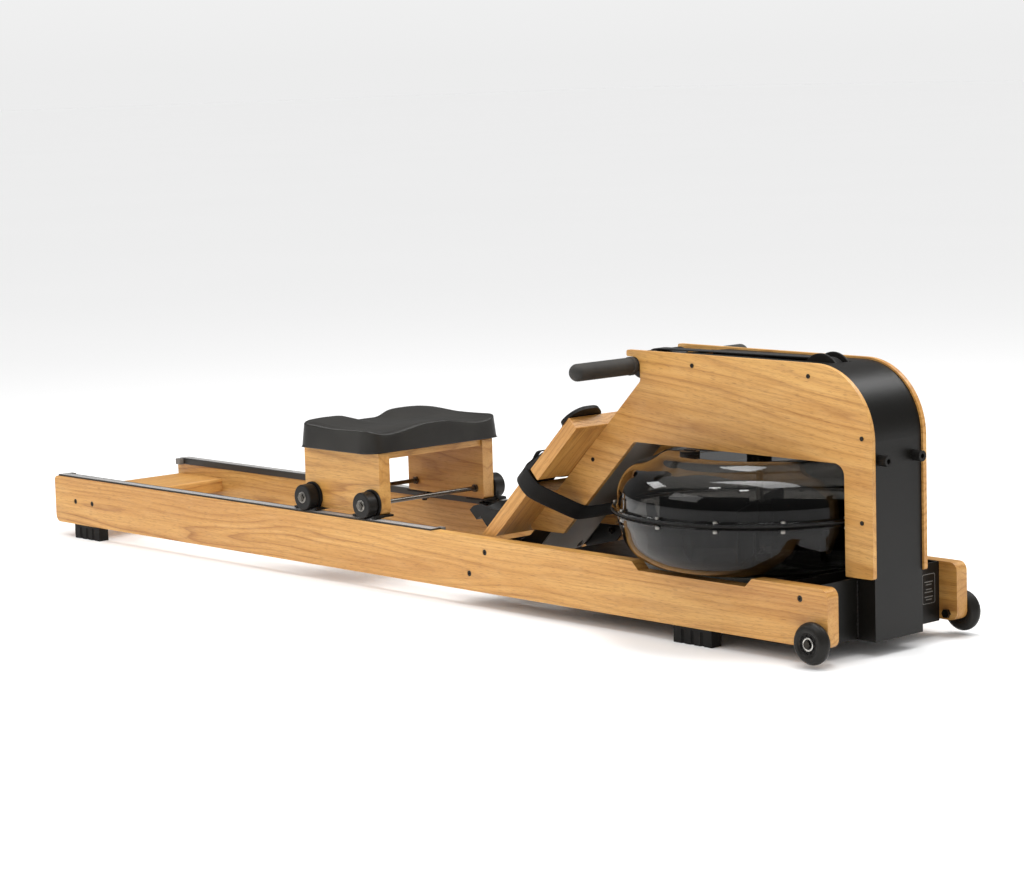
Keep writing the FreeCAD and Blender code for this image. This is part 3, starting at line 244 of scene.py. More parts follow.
def oak(name, along="X", slope=0.0, offset=(0, 0, 0), heart=(0.0, 0.03, -0.05), rings=105.0,
        painted_shade=1.0, figure=0.55):
    """Clear-lacquered oak. The grain runs along X or Y, turned by slope about Y; the
    pattern is a cut through growth rings about a heart line that wanders."""
    g = Graph(name)
    turned = g.node("ShaderNodeMapping", Vector=g.coords(offset=offset),
                    Rotation=(0, slope, math.pi / 2 if along == "Y" else 0))
    base = turned.outputs["Vector"]

    def stretched(length, across):
        return g.node("ShaderNodeMapping", Vector=base,
                      Scale=(length, across, across)).outputs["Vector"]

    # wandering of the heart line and uneven width of the rings
    wander = g.node("ShaderNodeTexNoise", Vector=stretched(1.3, 4.0), Scale=1.0,
                    Detail=2.0, Roughness=0.4).outputs["Color"]
    shift = g.node("ShaderNodeVectorMath", i0=wander, i1=(0.5, 0.5, 0.5))
    shift.operation = "SUBTRACT"
    grown = g.node("ShaderNodeVectorMath", i0=shift.outputs[0], i1=(0.0, 0.11, 0.11))
    grown.operation = "MULTIPLY"
    bent = g.node("ShaderNodeVectorMath", i0=base, i1=grown.outputs[0])
    bent.operation = "ADD"
    tilted = g.node("ShaderNodeMapping", Vector=bent.outputs[0], Location=heart,
                    Rotation=(0, math.radians(1.4), math.radians(1.1)),
                    Scale=(0.03, 1.0, 1.0)).outputs["Vector"]
    radius = g.node("ShaderNodeVectorMath", i0=tilted)
    radius.operation = "LENGTH"
    uneven = g.noise(stretched(1.0, 26.0), 1.0, 2.0, 0.5)
    ring = g.math("FRACT", g.math("ADD", g.math("MULTIPLY", radius.outputs["Value"], rings),
                                  g.math("MULTIPLY", uneven, 3.4)))

    streak = g.noise(stretched(7.0, 330.0), 1.0, 3.0, 0.6)
    fibre = g.noise(stretched(30.0, 900.0), 1.0, 2.0, 0.6)
    pore = g.noise(stretched(60.0, 1300.0), 1.0, 1.0, 0.5)
    broad = g.noise(stretched(1.1, 13.0), 1.0, 3.0, 0.5)
    mottled = g.noise(stretched(16.0, 60.0), 1.0, 2.0, 0.5)

    light = srgb(208, 160, 91)
    middle = srgb(190, 138, 70)
    deep = srgb(140, 89, 40)
    line = g.ramp(ring, [(0.0, middle), (0.30, light), (0.70, middle), (0.93, deep),
                         (1.0, middle)])
    tone = g.ramp(broad, [(0.32, srgb(170, 117, 59)), (0.5, middle), (0.66, light)])
    strong = g.grey(uneven, figure * 0.4, figure * 1.25, 0.38, 0.62)
    colour = g.mix(strong, tone, line)
    colour = g.mix(g.grey(streak, 0.0, 0.46, 0.48, 0.74), colour, srgb(146, 95, 44))
    colour = g.mix(g.grey(mottled, 0.0, 0.16, 0.5, 0.75), colour, srgb(218, 178, 118))
    pore_mask = g.grey(pore, 0.0, 1.0, 0.58, 0.68)
    colour = g.mix(g.math("MULTIPLY", pore_mask, 0.42), colour, srgb(112, 70, 32))
    # The whole colour is multiplied by this factor: painted shade for pieces that lie in shadow;
    # 1.0 leaves the oak as it is.
    colour = g.mix(1.0, colour, (painted_shade, painted_shade, painted_shade, 1), "MULTIPLY")

    height = g.math("SUBTRACT", g.math("MULTIPLY", fibre, 0.5), pore_mask)
    normal = g.bump(height, 0.14, 0.0005)
    rough = g.grey(streak, 0.38, 0.52, 0.3, 0.7)
    return g.finish(Base_Color=colour, Roughness=rough, Normal=normal, Coat_Weight=0.12,
                    Coat_Roughness=0.25, Specular_IOR_Level=0.38)


def black_steel(name, dark=srgb(14, 13, 11), light=srgb(19, 17, 14), gloss=0.24):
    """Powder-coated steel: fine orange-peel, satin sheen, a few pale specks of dust."""
    g = Graph(name)
    at = g.coords()
    peel = g.noise(at, 1500.0, 2.0, 0.6)
    cloud = g.noise(at, 9.0, 3.0, 0.5)
    speck = g.noise(at, 620.0, 1.0, 0.5)
    colour = g.mix(g.grey(cloud, 0.0, 1.0, 0.3, 0.7), dark, light)
    colour = g.mix(g.grey(speck, 0.0, 0.12, 0.62, 0.74), colour, srgb(84, 80, 74))
    rough = g.grey(peel, 0.30, 0.44)
    return g.finish(Base_Color=colour, Roughness=rough, Normal=g.bump(peel, 0.25, 0.0003),
                    Specular_IOR_Level=gloss)


def moulded(name, dark, light, rough_low, rough_high, grain=900.0, depth=0.0003):
    """Moulded plastic or rubber: fine spark-eroded grain and faint rub marks."""
    g = Graph(name)
    at = g.coords()
    fine = g.noise(at, grain, 2.0, 0.55)
    cloud = g.noise(at, 22.0, 3.0, 0.55)
    scuff = g.noise(g.coords(scale=(35, 160, 90)), 1.0, 2.0, 0.6)
    colour = g.mix(cloud, dark, light)
    colour = g.mix(g.grey(scuff, 0.0, 0.35, 0.62, 0.8), colour,
                   tuple(min(1.0, c * 1.9) for c in light[:3]) + (1,))
    rough = g.grey(scuff, rough_low, rough_high, 0.3, 0.75)
    return g.finish(Base_Color=colour, Roughness=rough, Normal=g.bump(fine, 0.35, depth),
                    Specular_IOR_Level=0.18)


def bright_metal(name, colour, rough=0.28, along=(30, 900, 900)):
    """Zinc-plated or stainless steel with fine turning marks."""
    g = Graph(name)
    lines = g.noise(g.coords(scale=along), 1.0, 2.0, 0.6)
    stain = g.noise(g.coords(), 60.0, 2.0, 0.5)
    tone = g.mix(g.grey(stain, 0.0, 0.4, 0.4, 0.8), colour,
                 tuple(c * 0.72 for c in colour[:3]) + (1,))
    return g.finish(Base_Color=tone, Roughness=g.grey(lines, rough - 0.08, rough + 0.12),
                    Normal=g.bump(lines, 0.12, 0.0002), Metallic=1.0)


def foam_grip(name):
    """Closed-cell foam sleeve."""
    g = Graph(name)
    at = g.coords()
    cells = g.node("ShaderNodeTexVoronoi", Vector=at, Scale=1100.0).outputs["Distance"]
    cloud = g.noise(at, 40.0, 3.0, 0.6)
    colour = g.ramp(cloud, [(0.3, srgb(36, 34, 31)), (0.7, srgb(50, 47, 43))])
    return g.finish(Base_Color=colour, Roughness=g.grey(cloud, 0.62, 0.78),
                    Normal=g.bump(cells, 0.35, 0.0003))


def seat_skin(name):
    """Moulded urethane: pebbled leather grain, its gloss varying in soft patches."""
    g = Graph(name)
    at = g.coords()
    pebble = g.node("ShaderNodeTexVoronoi", Vector=at, Scale=620.0).outputs["Distance"]
    cloud = g.noise(at, 14.0, 3.0, 0.5)
    dust = g.noise(at, 1400.0, 1.0, 0.5)
    colour = g.ramp(cloud, [(0.3, srgb(27, 25, 22)), (0.72, srgb(37, 35, 31))])
    colour = g.mix(g.grey(dust, 0.0, 0.15, 0.6, 0.75), colour, srgb(96, 93, 87))
    return g.finish(Base_Color=colour, Roughness=g.grey(cloud, 0.34, 0.46),
                    Normal=g.bump(pebble, 0.24, 0.0005), Specular_IOR_Level=0.40)


def webbing(name):
    """Woven polyester strap: ribs across, twill along, read from the strap's own length
    and width."""
    g = Graph(name)
    place = g.node("ShaderNodeAttribute")
    place.attribute_name = "strap_place"
    parts = g.node("ShaderNodeSeparateXYZ", Vector=place.outputs["Vector"])
    along = parts.outputs["X"]
    across = parts.outputs["Y"]
    rib = g.math("SINE", g.math("MULTIPLY", g.math("ADD", along,
                                                   g.math("MULTIPLY", across, 0.6)), 2600.0))
    yarn = g.math("SINE", g.math("MULTIPLY", across, 5200.0))
    weave = g.math("ADD", g.math("MULTIPLY", g.math("MULTIPLY", rib, yarn), 0.25), 0.5)
    fuzz = g.noise(g.coords(), 900.0, 2.0, 0.6)
    colour = g.mix(weave, srgb(9, 8, 7), srgb(20, 18, 17))
    colour = g.mix(g.grey(fuzz, 0.0, 0.20, 0.5, 0.8), colour, srgb(52, 49, 45))
    return g.finish(Base_Color=colour, Roughness=0.8, Normal=g.bump(weave, 0.5, 0.0004),
                    Specular_IOR_Level=0.2, Sheen_Weight=0.08, Sheen_Roughness=0.5)


def braided(name):
    """The sleeve of an elastic cord."""
    g = Graph(name)
    first = g.node("ShaderNodeTexWave", Vector=g.coords(turn=(0, 0.7, 0)), Scale=160.0)
    second = g.node("ShaderNodeTexWave", Vector=g.coords(turn=(0, -0.7, 0)), Scale=160.0)
    both = g.math("MULTIPLY", first.outputs["Fac"], second.outputs["Fac"])
    colour = g.mix(both, srgb(26, 25, 24), srgb(70, 67, 62))
    return g.finish(Base_Color=colour, Roughness=0.75, Normal=g.bump(both, 0.5, 0.0005))


def smoked_clear(name):
    """Smoke-tinted polycarbonate with faint flow marks."""
    g = Graph(name)
    flow = g.noise(g.coords(scale=(1, 1, 2.5)), 7.0, 2.0, 0.5)
    dew = g.noise(g.coords(), 420.0, 2.0, 0.5)
    return g.finish(Base_Color=g.mix(flow, (0.15, 0.146, 0.138, 1), (0.21, 0.204, 0.194, 1)),
                    Roughness=g.grey(dew, 0.005, 0.02, 0.4, 0.8),
                    Normal=g.bump(flow, 0.04, 0.002), Transmission_Weight=1.0, IOR=1.32)


def water_drop(name):
    """Clear drops with a little haze."""
    g = Graph(name)
    haze = g.noise(g.coords(), 300.0, 1.0)
    return g.finish(Base_Color=(0.9, 0.92, 0.93, 1), Roughness=g.grey(haze, 0.0, 0.05),
                    Transmission_Weight=1.0, IOR=1.33)


def track_strip(name):
    """Extruded strip: a pale worn running face on top, black sides."""
    g = Graph(name)
    facing = g.node("ShaderNodeNewGeometry").outputs["Normal"]
    up = g.node("ShaderNodeSeparateXYZ", Vector=facing).outputs["Z"]
    across = g.node("ShaderNodeSeparateXYZ",
                    Vector=g.node("ShaderNodeTexCoord").outputs["Object"]).outputs["Y"]
    lane = g.math("ABSOLUTE", g.math("SUBTRACT", g.math("ABSOLUTE", across), 0.1525))
    on_lane = g.math("LESS_THAN", lane, 0.0088)
    top = g.math("MULTIPLY", g.math("GREATER_THAN", up, 0.8), on_lane)
    wear = g.noise(g.coords(scale=(14, 500, 500)), 1.0, 3.0, 0.6)
    rolled = g.mix(wear, srgb(128, 126, 124), srgb(186, 184, 182))
    colour = g.mix(top, srgb(36, 34, 31), rolled)
    rough = g.math("ADD", g.math("MULTIPLY", top, -0.22), g.grey(wear, 0.42, 0.58))
    return g.finish(Base_Color=colour, Roughness=rough, Normal=g.bump(wear, 0.12, 0.0003),
                    Specular_IOR_Level=0.6)


def pale_floor(name):
    """Matt studio floor, very faintly uneven."""
    g = Graph(name)
    cloud = g.noise(g.coords(), 0.6, 2.0)
    return g.finish(Base_Color=g.mix(cloud, (0.93, 0.93, 0.93, 1), (0.95, 0.95, 0.95, 1)),
                    Roughness=0.7)


SLOPE = math.radians(44.1)
OAK_RAIL_NEAR = oak("oak_rail_near", heart=(0.0, 0.150, -0.055), rings=120.0)
# The far rail's oak is made darker by 0.86: painted shade for its inner face, which lies in
# shadow.
OAK_RAIL_FAR = oak("oak_rail_far", offset=(0.7, 0, 0), heart=(0.0, -0.17, -0.04), rings=110.0,
                   painted_shade=0.86)
OAK_PANEL_NEAR = oak("oak_panel_near", slope=math.radians(-6), offset=(2.3, 0, 0),
                     heart=(0.0, 0.10, -0.40), rings=62.0, figure=0.42)
OAK_PANEL_FAR = oak("oak_panel_far", slope=math.radians(4), offset=(4.1, 0, 0),
                    heart=(0.0, -0.02, -0.37), rings=95.0)
OAK_FOOTBOARD = oak("oak_footboard", slope=SLOPE, offset=(1.0, 0, 0),
                    heart=(0.0, 0.03, -0.09), rings=130.0)
OAK_CROSS = oak("oak_cross", along="Y", offset=(0.4, 0.6, 0), heart=(0.0, 0.9, -0.03))
OAK_SEAT_NEAR = oak("oak_seat_near", offset=(3.2, 0, 0), heart=(0.0, 0.16, -0.19))
# The far seat plate's oak is made darker by 0.82: painted shade for its inner face, which lies
# in shadow.
OAK_SEAT_FAR = oak("oak_seat_far", offset=(5.2, 0, 0), heart=(0.0, -0.15, -0.15), painted_shade=0.82)
STEEL_BLACK = black_steel("powder_black_steel")
# The inner frame's mid-grey colour is a painted reflection of the bright sky on its steel.
STEEL_WEB = black_steel("steel_painted_sky_reflection", srgb(116, 113, 108), srgb(130, 127, 121), 0.35)
RUBBER = moulded("foot_rubber", srgb(18, 17, 16), srgb(32, 30, 28), 0.55, 0.75)
PLASTIC = moulded("black_plastic", srgb(17, 16, 15), srgb(30, 28, 26), 0.34, 0.5)
GREY_PLASTIC = moulded("grey_plastic", srgb(96, 95, 92), srgb(124, 122, 118), 0.4, 0.55)
PADDLE = moulded("paddle_plastic", srgb(22, 21, 20), srgb(38, 36, 34), 0.3, 0.45)
TYRE = moulded("wheel_urethane", srgb(22, 21, 19), srgb(36, 34, 31), 0.32, 0.5, 700.0)
ROLLER = moulded("roller_nylon", srgb(22, 21, 20), srgb(36, 34, 31), 0.34, 0.48, 800.0)
BOLT_BLACK = bright_metal("blackened_bolt", srgb(58, 55, 51), 0.36)
ZINC = bright_metal("zinc_steel", srgb(196, 194, 189), 0.26)
ROD_STEEL = bright_metal("axle_steel", srgb(104, 100, 94), 0.26, along=(900, 30, 900))
BEARING = bright_metal("bearing_steel", srgb(150, 147, 141), 0.34)
FOAM = foam_grip("grip_foam")
SEAT = seat_skin("seat_urethane")
WEB = webbing("strap_webbing")
BRAID = braided("elastic_braid")
TANK = smoked_clear("smoked_polycarbonate")
DROP = water_drop("water_drop")
TRACK = track_strip("track_strip")


def dress_frame():
    use(OAK_RAIL_NEAR, "near_rail")
    use(OAK_RAIL_FAR, "far_rail")
    use(OAK_PANEL_NEAR, "near_side_panel")
    use(OAK_PANEL_FAR, "far_side_panel")
    use(OAK_FOOTBOARD, "footboard_lower", "footboard_upper")
    use(OAK_CROSS, "rear_cross_member", "seat_base")
    use(OAK_SEAT_NEAR, "near_seat_plate")
    use(OAK_SEAT_FAR, "far_seat_plate")
    use(STEEL_BLACK, "outer_cover", "leg_gussets", "foot_cross_member", "front_cross_box",
        "roller_guards")
    use(STEEL_WEB, "inner_frame")
    use(PLASTIC, "front_pegs", "deck_board", "filler_plug", "tank_bearings", "strap_drum",
        "belt_pulley", "near_foot_plate", "far_foot_plate", "handle_bar")
    use(RUBBER, "rubber_feet", "tank_seal")
    use(BOLT_BLACK, "frame_bolts", "wheel_axles", "housing_axles")
    use(ZINC, "tank_base", "impeller_shaft")
    use(ROD_STEEL, "seat_axles", "axle_nuts")
    use(BEARING, "tank_screws")
    use(PADDLE, "impeller_paddle")
    use(FOAM, "near_grip", "far_grip")
    use(GREY_PLASTIC, "track_stops")
    use(TRACK, "near_track", "far_track")
    use(BRAID, "recoil_cord")
    use(TYRE, "near_wheel_tyre", "far_wheel_tyre")
    use(PLASTIC, "near_wheel_hub", "far_wheel_hub")
    for side_name, _, end_name in CORNERS:
        use(ROLLER, "%s_%s_roller" % (side_name, end_name),
            "%s_%s_guide_roller" % (side_name, end_name))
    for name in ("near_rail", "far_rail", "footboard_lower", "footboard_upper",
                 "rear_cross_member", "near_seat_plate", "far_seat_plate"):
        bevel(NODES[name], 0.0022, 3)
    for name in ("near_side_panel", "far_side_panel"):
        bevel(NODES[name], 0.0012)


# ------ seat

# Height of the seat's top over its skirt's foot, in millimetres: one row per place along the
# seat, -1 at the rear and 1 at the front, one value per place across, 0 in the middle.
SEAT_ACROSS = (0.0, 0.17, 0.35, 0.56, 0.77, 1.0)
SEAT_ROWS = (
    (-1.00, (36.5, 37.5, 47.5, 49.0, 48.0, 45.0)),
    (-0.60, (36.5, 37.0, 44.0, 46.5, 46.0, 43.5)),
    (-0.10, (37.0, 37.0, 37.5, 38.5, 40.0, 41.5)),
    (0.45, (41.0, 40.5, 38.5, 37.0, 37.5, 43.0)),
    (1.00, (47.0, 46.0, 41.0, 35.0, 34.5, 46.5)),
)
SEAT_TURNS = 192
SEAT_RINGS = 76
SEAT_CORNER = 0.026
SEAT_FLARE = 0.0045
SEAT_EDGE = 0.0065
SEAT_CREASES = (0.0085, 0.0140)
CREASE_DEPTH = 0.0009
CREASE_WIDE = 0.0013
SKIRT_FALLS = (0.12, 0.3, 0.5, 0.7, 0.86, 0.95)
SKIRT_LIP = ((0.0, 0.0003), (0.0015, 0.0), (0.0045, 0.0006), (0.0052, 0.005))


def curve_value(places, values, x):
    """A smooth curve through (place, value) pairs, level beyond both ends."""
    if x <= places[0]:
        return values[0]
    for i in range(len(places) - 1):
        if x <= places[i + 1]:
            before = max(i - 1, 0)
            after = min(i + 2, len(places) - 1)
            span = places[i + 1] - places[i]
            lean_in = (values[i + 1] - values[before]) / (places[i + 1] - places[before]) * span
            lean_out = (values[after] - values[i]) / (places[after] - places[i]) * span
            u = (x - places[i]) / span
            return ((2 * u ** 3 - 3 * u ** 2 + 1) * values[i]
                    + (u ** 3 - 2 * u ** 2 + u) * lean_in
                    + (3 * u ** 2 - 2 * u ** 3) * values[i + 1]
                    + (u ** 3 - u ** 2) * lean_out)
    return values[-1]


def seat_height(s, t):
    """Height of the seat's top over its skirt's foot; s runs rear to front and t side to
    side, both from -1 to 1."""
    levels = [curve_value(SEAT_ACROSS, row, abs(t)) for _, row in SEAT_ROWS]
    return curve_value([place for place, _ in SEAT_ROWS], levels, s) * MM


def rounded_rectangle(half_x, half_y, radius, angle):
    """Point of a rounded rectangle's edge in a direction from its middle."""
    dx = math.cos(angle)
    dy = math.sin(angle)
    reach = min(half_x / max(abs(dx), 1e-9), half_y / max(abs(dy), 1e-9))
    x = dx * reach
    y = dy * reach
    corner_x = half_x - radius
    corner_y = half_y - radius
    if abs(x) > corner_x and abs(y) > corner_y:
        cx = math.copysign(corner_x, x)
        cy = math.copysign(corner_y, y)
        along = dx * cx + dy * cy
        reach = along + math.sqrt(max(along * along - (cx * cx + cy * cy) + radius * radius, 0))
        x = dx * reach
        y = dy * reach
    return x, y


def seat_outline(half_x, half_y, radius):
    """The edge of a rounded rectangle, as points all round its middle."""
    return [rounded_rectangle(half_x, half_y, radius, 2 * math.pi * i / SEAT_TURNS)
            for i in range(SEAT_TURNS)]


def seat_top(s, t, gap):
    """Height of the top at a place that lies gap inside the edge: the edge is rounded and two
    fine creases run beside it."""
    height = seat_height(s, t)
    if gap < SEAT_EDGE:
        drop = SEAT_EDGE - gap
        height -= 0.75 * (SEAT_EDGE - math.sqrt(max(SEAT_EDGE * SEAT_EDGE - drop * drop, 0)))
    for crease in SEAT_CREASES:
        height -= CREASE_DEPTH * math.exp(-((gap - crease) / CREASE_WIDE) ** 2)
    return height


def build_seat_pad():
    """The moulded cushion: rings from the middle out, a flared skirt and a lip turned in."""
    low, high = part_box("seat_pad")
    centre = (low + high) / 2
    half_x = (high.x - low.x) / 2 - 0.002
    half_y = (high.y - low.y) / 2 - 0.002
    inner = seat_outline(half_x - SEAT_FLARE, half_y - SEAT_FLARE, SEAT_CORNER)
    outer = seat_outline(half_x, half_y, SEAT_CORNER + SEAT_FLARE)
    rings = []
    for i in range(SEAT_RINGS + 1):
        share = 0.02 + 0.98 * math.sin(i / SEAT_RINGS * math.pi / 2)
        ring = []
        for bx, by in inner:
            x = bx * share
            y = by * share
            height = seat_top(x / half_x, y / half_y, math.hypot(bx - x, by - y))
            ring.append((centre.x + x, centre.y + y, low.z + height))
        rings.append(ring)
    rim = rings[-1]
    for fall in SKIRT_FALLS:
        rings.append([(centre.x + (bx + (ox - bx) * fall), centre.y + (by + (oy - by) * fall),
                       top + (low.z - top) * fall)
                      for (bx, by), (ox, oy), (_, _, top) in zip(inner, outer, rim)])
    for inset, rise in SKIRT_LIP:
        edge = seat_outline(half_x - inset, half_y - inset, SEAT_CORNER)
        rings.append([(centre.x + x, centre.y + y, low.z + rise) for x, y in edge])
    last = (len(rings) - 1) * SEAT_TURNS
    faces = []
    for start in range(0, last, SEAT_TURNS):
        after = start + SEAT_TURNS
        for i in range(SEAT_TURNS):
            j = (i + 1) % SEAT_TURNS
            faces.append((start + i, start + j, after + j, after + i))
    faces.append(tuple(reversed(range(SEAT_TURNS))))
    faces.append(tuple(range(last, last + SEAT_TURNS)))
    pad = mesh_object("seat_cushion", [point for ring in rings for point in ring], faces, SEAT)
    face_outwards(pad)
    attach(pad, "seat")
    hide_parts("seat_pad")


# ------ straps

# A strap's section, in shares of its width and thickness.
SECTION = ((-0.5, 0.28), (-0.47, 0.5), (-0.25, 0.5), (0.25, 0.5), (0.47, 0.5), (0.5, 0.28),
           (0.5, -0.28), (0.47, -0.5), (0.25, -0.5), (-0.25, -0.5), (-0.47, -0.5),
           (-0.5, -0.28))
ACROSS = Vector((0, 1, 0))
PULL_THICK = 0.0018
PULL_WIDE = 0.024
FOOT_THICK = 0.002
FOOT_WIDE = 0.036
HUB_STEPS = 48
PULLEY_STEPS = 28
TWIST_STEPS = 40
# Where the drive strap meets the drum: ahead of the drum's axis, and its place in Y and Z.
DRUM_AHEAD, DRUM_Y, DRUM_Z = 0.020, 0.0353, 0.3335


def strap_mesh(name, centres, sides, width, thick, closed=False):
    """A woven strap along centres; sides are unit vectors across it. Its edges are
    rounded, and each point knows its place along and across for the weave."""
    count = len(centres)
    verts = []
    places = []
    faces = []
    length = 0.0
    for i, centre in enumerate(centres):
        if closed:
            ahead = (centres[(i + 1) % count] - centres[i - 1]).normalized()
        else:
            ahead = (centres[min(i + 1, count - 1)] - centres[max(i - 1, 0)]).normalized()
        side = sides[i]
        up = side.cross(ahead).normalized()
        if i:
            length += (centre - centres[i - 1]).length
        for across, over in SECTION:
            verts.append(centre + side * (across * width) + up * (over * thick))
            places.append((length, across * width, 0.0))
    size = len(SECTION)
    spans = count if closed else count - 1
    for i in range(spans):
        j = (i + 1) % count
        for k in range(size):
            m = (k + 1) % size
            faces.append((i * size + k, i * size + m, j * size + m, j * size + k))
    if not closed:
        faces.append(tuple(reversed(range(size))))
        faces.append(tuple(range((count - 1) * size, count * size)))
    obj = mesh_object(name, verts, faces, WEB)
    mark = obj.data.attributes.new("strap_place", "FLOAT_VECTOR", "POINT")
    mark.data.foreach_set("vector", [c for place in places for c in place])
    face_outwards(obj)
    return obj


def smooth_path(points, samples, closed=False):
    """Evenly spaced points on a NURBS line through control points."""
    curve = bpy.data.curves.new("path", "CURVE")
    curve.dimensions = "3D"
    curve.resolution_u = 24
    spline = curve.splines.new("NURBS")
    spline.points.add(len(points) - 1)
    for held, point in zip(spline.points, points):
        held.co = (*point, 1.0)
    spline.order_u = 3
    spline.use_endpoint_u = not closed
    spline.use_cyclic_u = closed
    carrier = bpy.data.objects.new("path", curve)
    bpy.context.scene.collection.objects.link(carrier)
    bpy.context.view_layer.update()
    mesh = bpy.data.meshes.new_from_object(carrier)
    line = [v.co.copy() for v in mesh.vertices]
    bpy.data.objects.remove(carrier)
    bpy.data.meshes.remove(mesh)
    if closed:
        line.append(line[0].copy())
    lengths = [0.0]
    for first, second in zip(line, line[1:]):
        lengths.append(lengths[-1] + (second - first).length)
    total = lengths[-1]
    made = []
    at = 0
    steps = samples if closed else samples - 1
    for i in range(samples):
        goal = total * i / steps
        while at < len(lengths) - 2 and lengths[at + 1] < goal:
            at += 1
        span = max(lengths[at + 1] - lengths[at], 1e-9)
        made.append(line[at].lerp(line[at + 1], (goal - lengths[at]) / span))
    return made


def build_pull_strap():
    """From the handle's hub to the pulley."""
    low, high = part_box("pull_strap")
    pulley = centre_of("belt_pulley")
    start = Vector((low.x, 0, low.z + 0.001))
    end = Vector((pulley.x - 0.002, 0, high.z - 0.001))
    points = [start, start.lerp(end, 0.03), start.lerp(end, 0.5), start.lerp(end, 0.97), end]
    line = smooth_path(points, 60)
    strap = strap_mesh("pull_webbing", line, [ACROSS] * len(line), high.y - low.y, PULL_THICK)
    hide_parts("pull_strap")
    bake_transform(strap)


def build_strap_on_hub():
    """The end of the pull strap, wound round the handle's hub."""
    hub = centre_of("handle_bar")
    hub_low, hub_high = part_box("handle_bar")
    rad = (hub_high.z - hub_low.z) / 2 + 0.0011
    line = []
    for i in range(HUB_STEPS):
        angle = math.radians(86 + 332 * i / (HUB_STEPS - 1))
        line.append(Vector((hub.x + rad * math.cos(angle), 0, hub.z + rad * math.sin(angle))))
    loop = strap_mesh("hub_webbing", line, [ACROSS] * len(line), PULL_WIDE, PULL_THICK)
    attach(loop, "handle")


def build_drive_strap():
    """Over the pulley, back under it, and a quarter turn on its way down to the drum."""
    pulley = centre_of("belt_pulley")
    drum = centre_of("strap_drum")
    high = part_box("drive_strap")[1]
    rad = high.z - 0.001 - pulley.z
    centres = []
    sides = []
    for i in range(PULLEY_STEPS):
        angle = math.radians(90 - 180 * i / (PULLEY_STEPS - 1))
        centres.append(Vector((pulley.x + rad * math.cos(angle), 0,
                               pulley.z + rad * math.sin(angle))))
        sides.append(ACROSS)
    leaves = centres[-1]
    end = Vector((drum.x + DRUM_AHEAD, DRUM_Y, DRUM_Z))
    start = Vector((pulley.x - 0.030, 0, pulley.z - rad - 0.007))
    for i in range(1, 8):
        centres.append(leaves.lerp(start, i / 8))
        sides.append(ACROSS)
    for i in range(TWIST_STEPS):
        share = i / (TWIST_STEPS - 1)
        turn = math.radians(90) * share * share * (3 - 2 * share)
        centres.append(start.lerp(end, share))
        sides.append(Vector((0, math.cos(turn), math.sin(turn))))
    strap = strap_mesh("drive_webbing", centres, sides, PULL_WIDE, PULL_THICK)
    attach(strap, "frame")
    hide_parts("drive_strap")


# Where the footboard's back meets its foot, and its thickness.
LEG_X, LEG_Z = 0.25075, 0.122
BOARD = 0.0245


def board_point(along, out, across):
    """A point given along the footboard's slope, out from its back and across."""
    x = LEG_X + along * math.cos(SLOPE) - out * math.sin(SLOPE)
    z = LEG_Z + along * math.sin(SLOPE) + out * math.cos(SLOPE)
    return Vector((x, across, z))


def build_foot_strap():
    """The webbing over both feet: one loop through the gap in the board."""
    up_slope = Vector((math.cos(SLOPE), 0, math.sin(SLOPE)))
    middle = 0.1298
    edge = 0.1378
    foot = -centre_of("near_foot_plate").y
    half_loop = [(0.0, BOARD + 0.0014), (foot - 0.050, BOARD + 0.0014),
                 (foot - 0.042, BOARD + 0.009), (foot - 0.031, BOARD + 0.016),
                 (foot, BOARD + 0.0195), (foot + 0.030, BOARD + 0.0170),
                 (edge - 0.003, BOARD + 0.011), (edge + 0.0006, BOARD - 0.002), (edge, 0.004),
                 (edge - 0.008, -0.010), (0.094, -0.040), (0.0725, -0.058), (0.060, -0.0648),
                 (0.0, -0.0648)]
    right = [board_point(middle, out, across) for across, out in half_loop]
    left = [board_point(middle, out, -across) for across, out in reversed(half_loop[1:-1])]
    line = smooth_path(right + left, 260, closed=True)
    strap = strap_mesh("foot_webbing", line, [up_slope] * len(line), FOOT_WIDE, FOOT_THICK,
                       closed=True)
    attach(strap, "frame")
    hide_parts("foot_strap")
    for side_name, side in SIDES:
        build_buckle(side_name, side)


def build_buckle(side_name, side):
    """The strap's buckle at one edge of the board, and its loose end turned up over it.
    Points are (along the board, out from its back)."""
    tail = [(0.140, 0.0345), (0.150, 0.0362), (0.158, 0.0350), (0.168, 0.0322),
            (0.178, 0.0345), (0.186, 0.0352), (0.194, 0.0312), (0.1995, 0.0262)]
    line = smooth_path([board_point(along, out, side * 0.1315) for along, out in tail], 40)
    end = strap_mesh(side_name + "_loose_end", line, [ACROSS] * len(line), 0.0105, 0.0019)
    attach(end, "frame")
    block = [(0.134, BOARD + 0.0006), (0.134, BOARD + 0.010), (0.150, BOARD + 0.0102),
             (0.166, BOARD + 0.0062), (0.196, BOARD + 0.0012), (0.196, BOARD + 0.0006)]
    work = bmesh.new()
    add_prism(work, [board_point(along, out, side * 0.1268) for along, out in block],
              Vector((0, side * 0.0100, 0)))
    buckle = bmesh_object(side_name + "_buckle", work, PLASTIC, smooth=False)
    bevel(buckle, 0.0006)
    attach(buckle, "frame")


def add_prism(work, points, shift):
    """A prism in work between an outline and the same outline moved by shift."""
    first = [work.verts.new(point) for point in points]
    second = [work.verts.new(point + shift) for point in points]
    work.faces.new(first)
    work.faces.new(list(reversed(second)))
    for i in range(len(points)):
        j = (i + 1) % len(points)
        work.faces.new((first[j], first[i], second[i], second[j]))


# ------ rollers and wheels

GUARD_STEPS = 40
WHEEL_SPOKES = 10


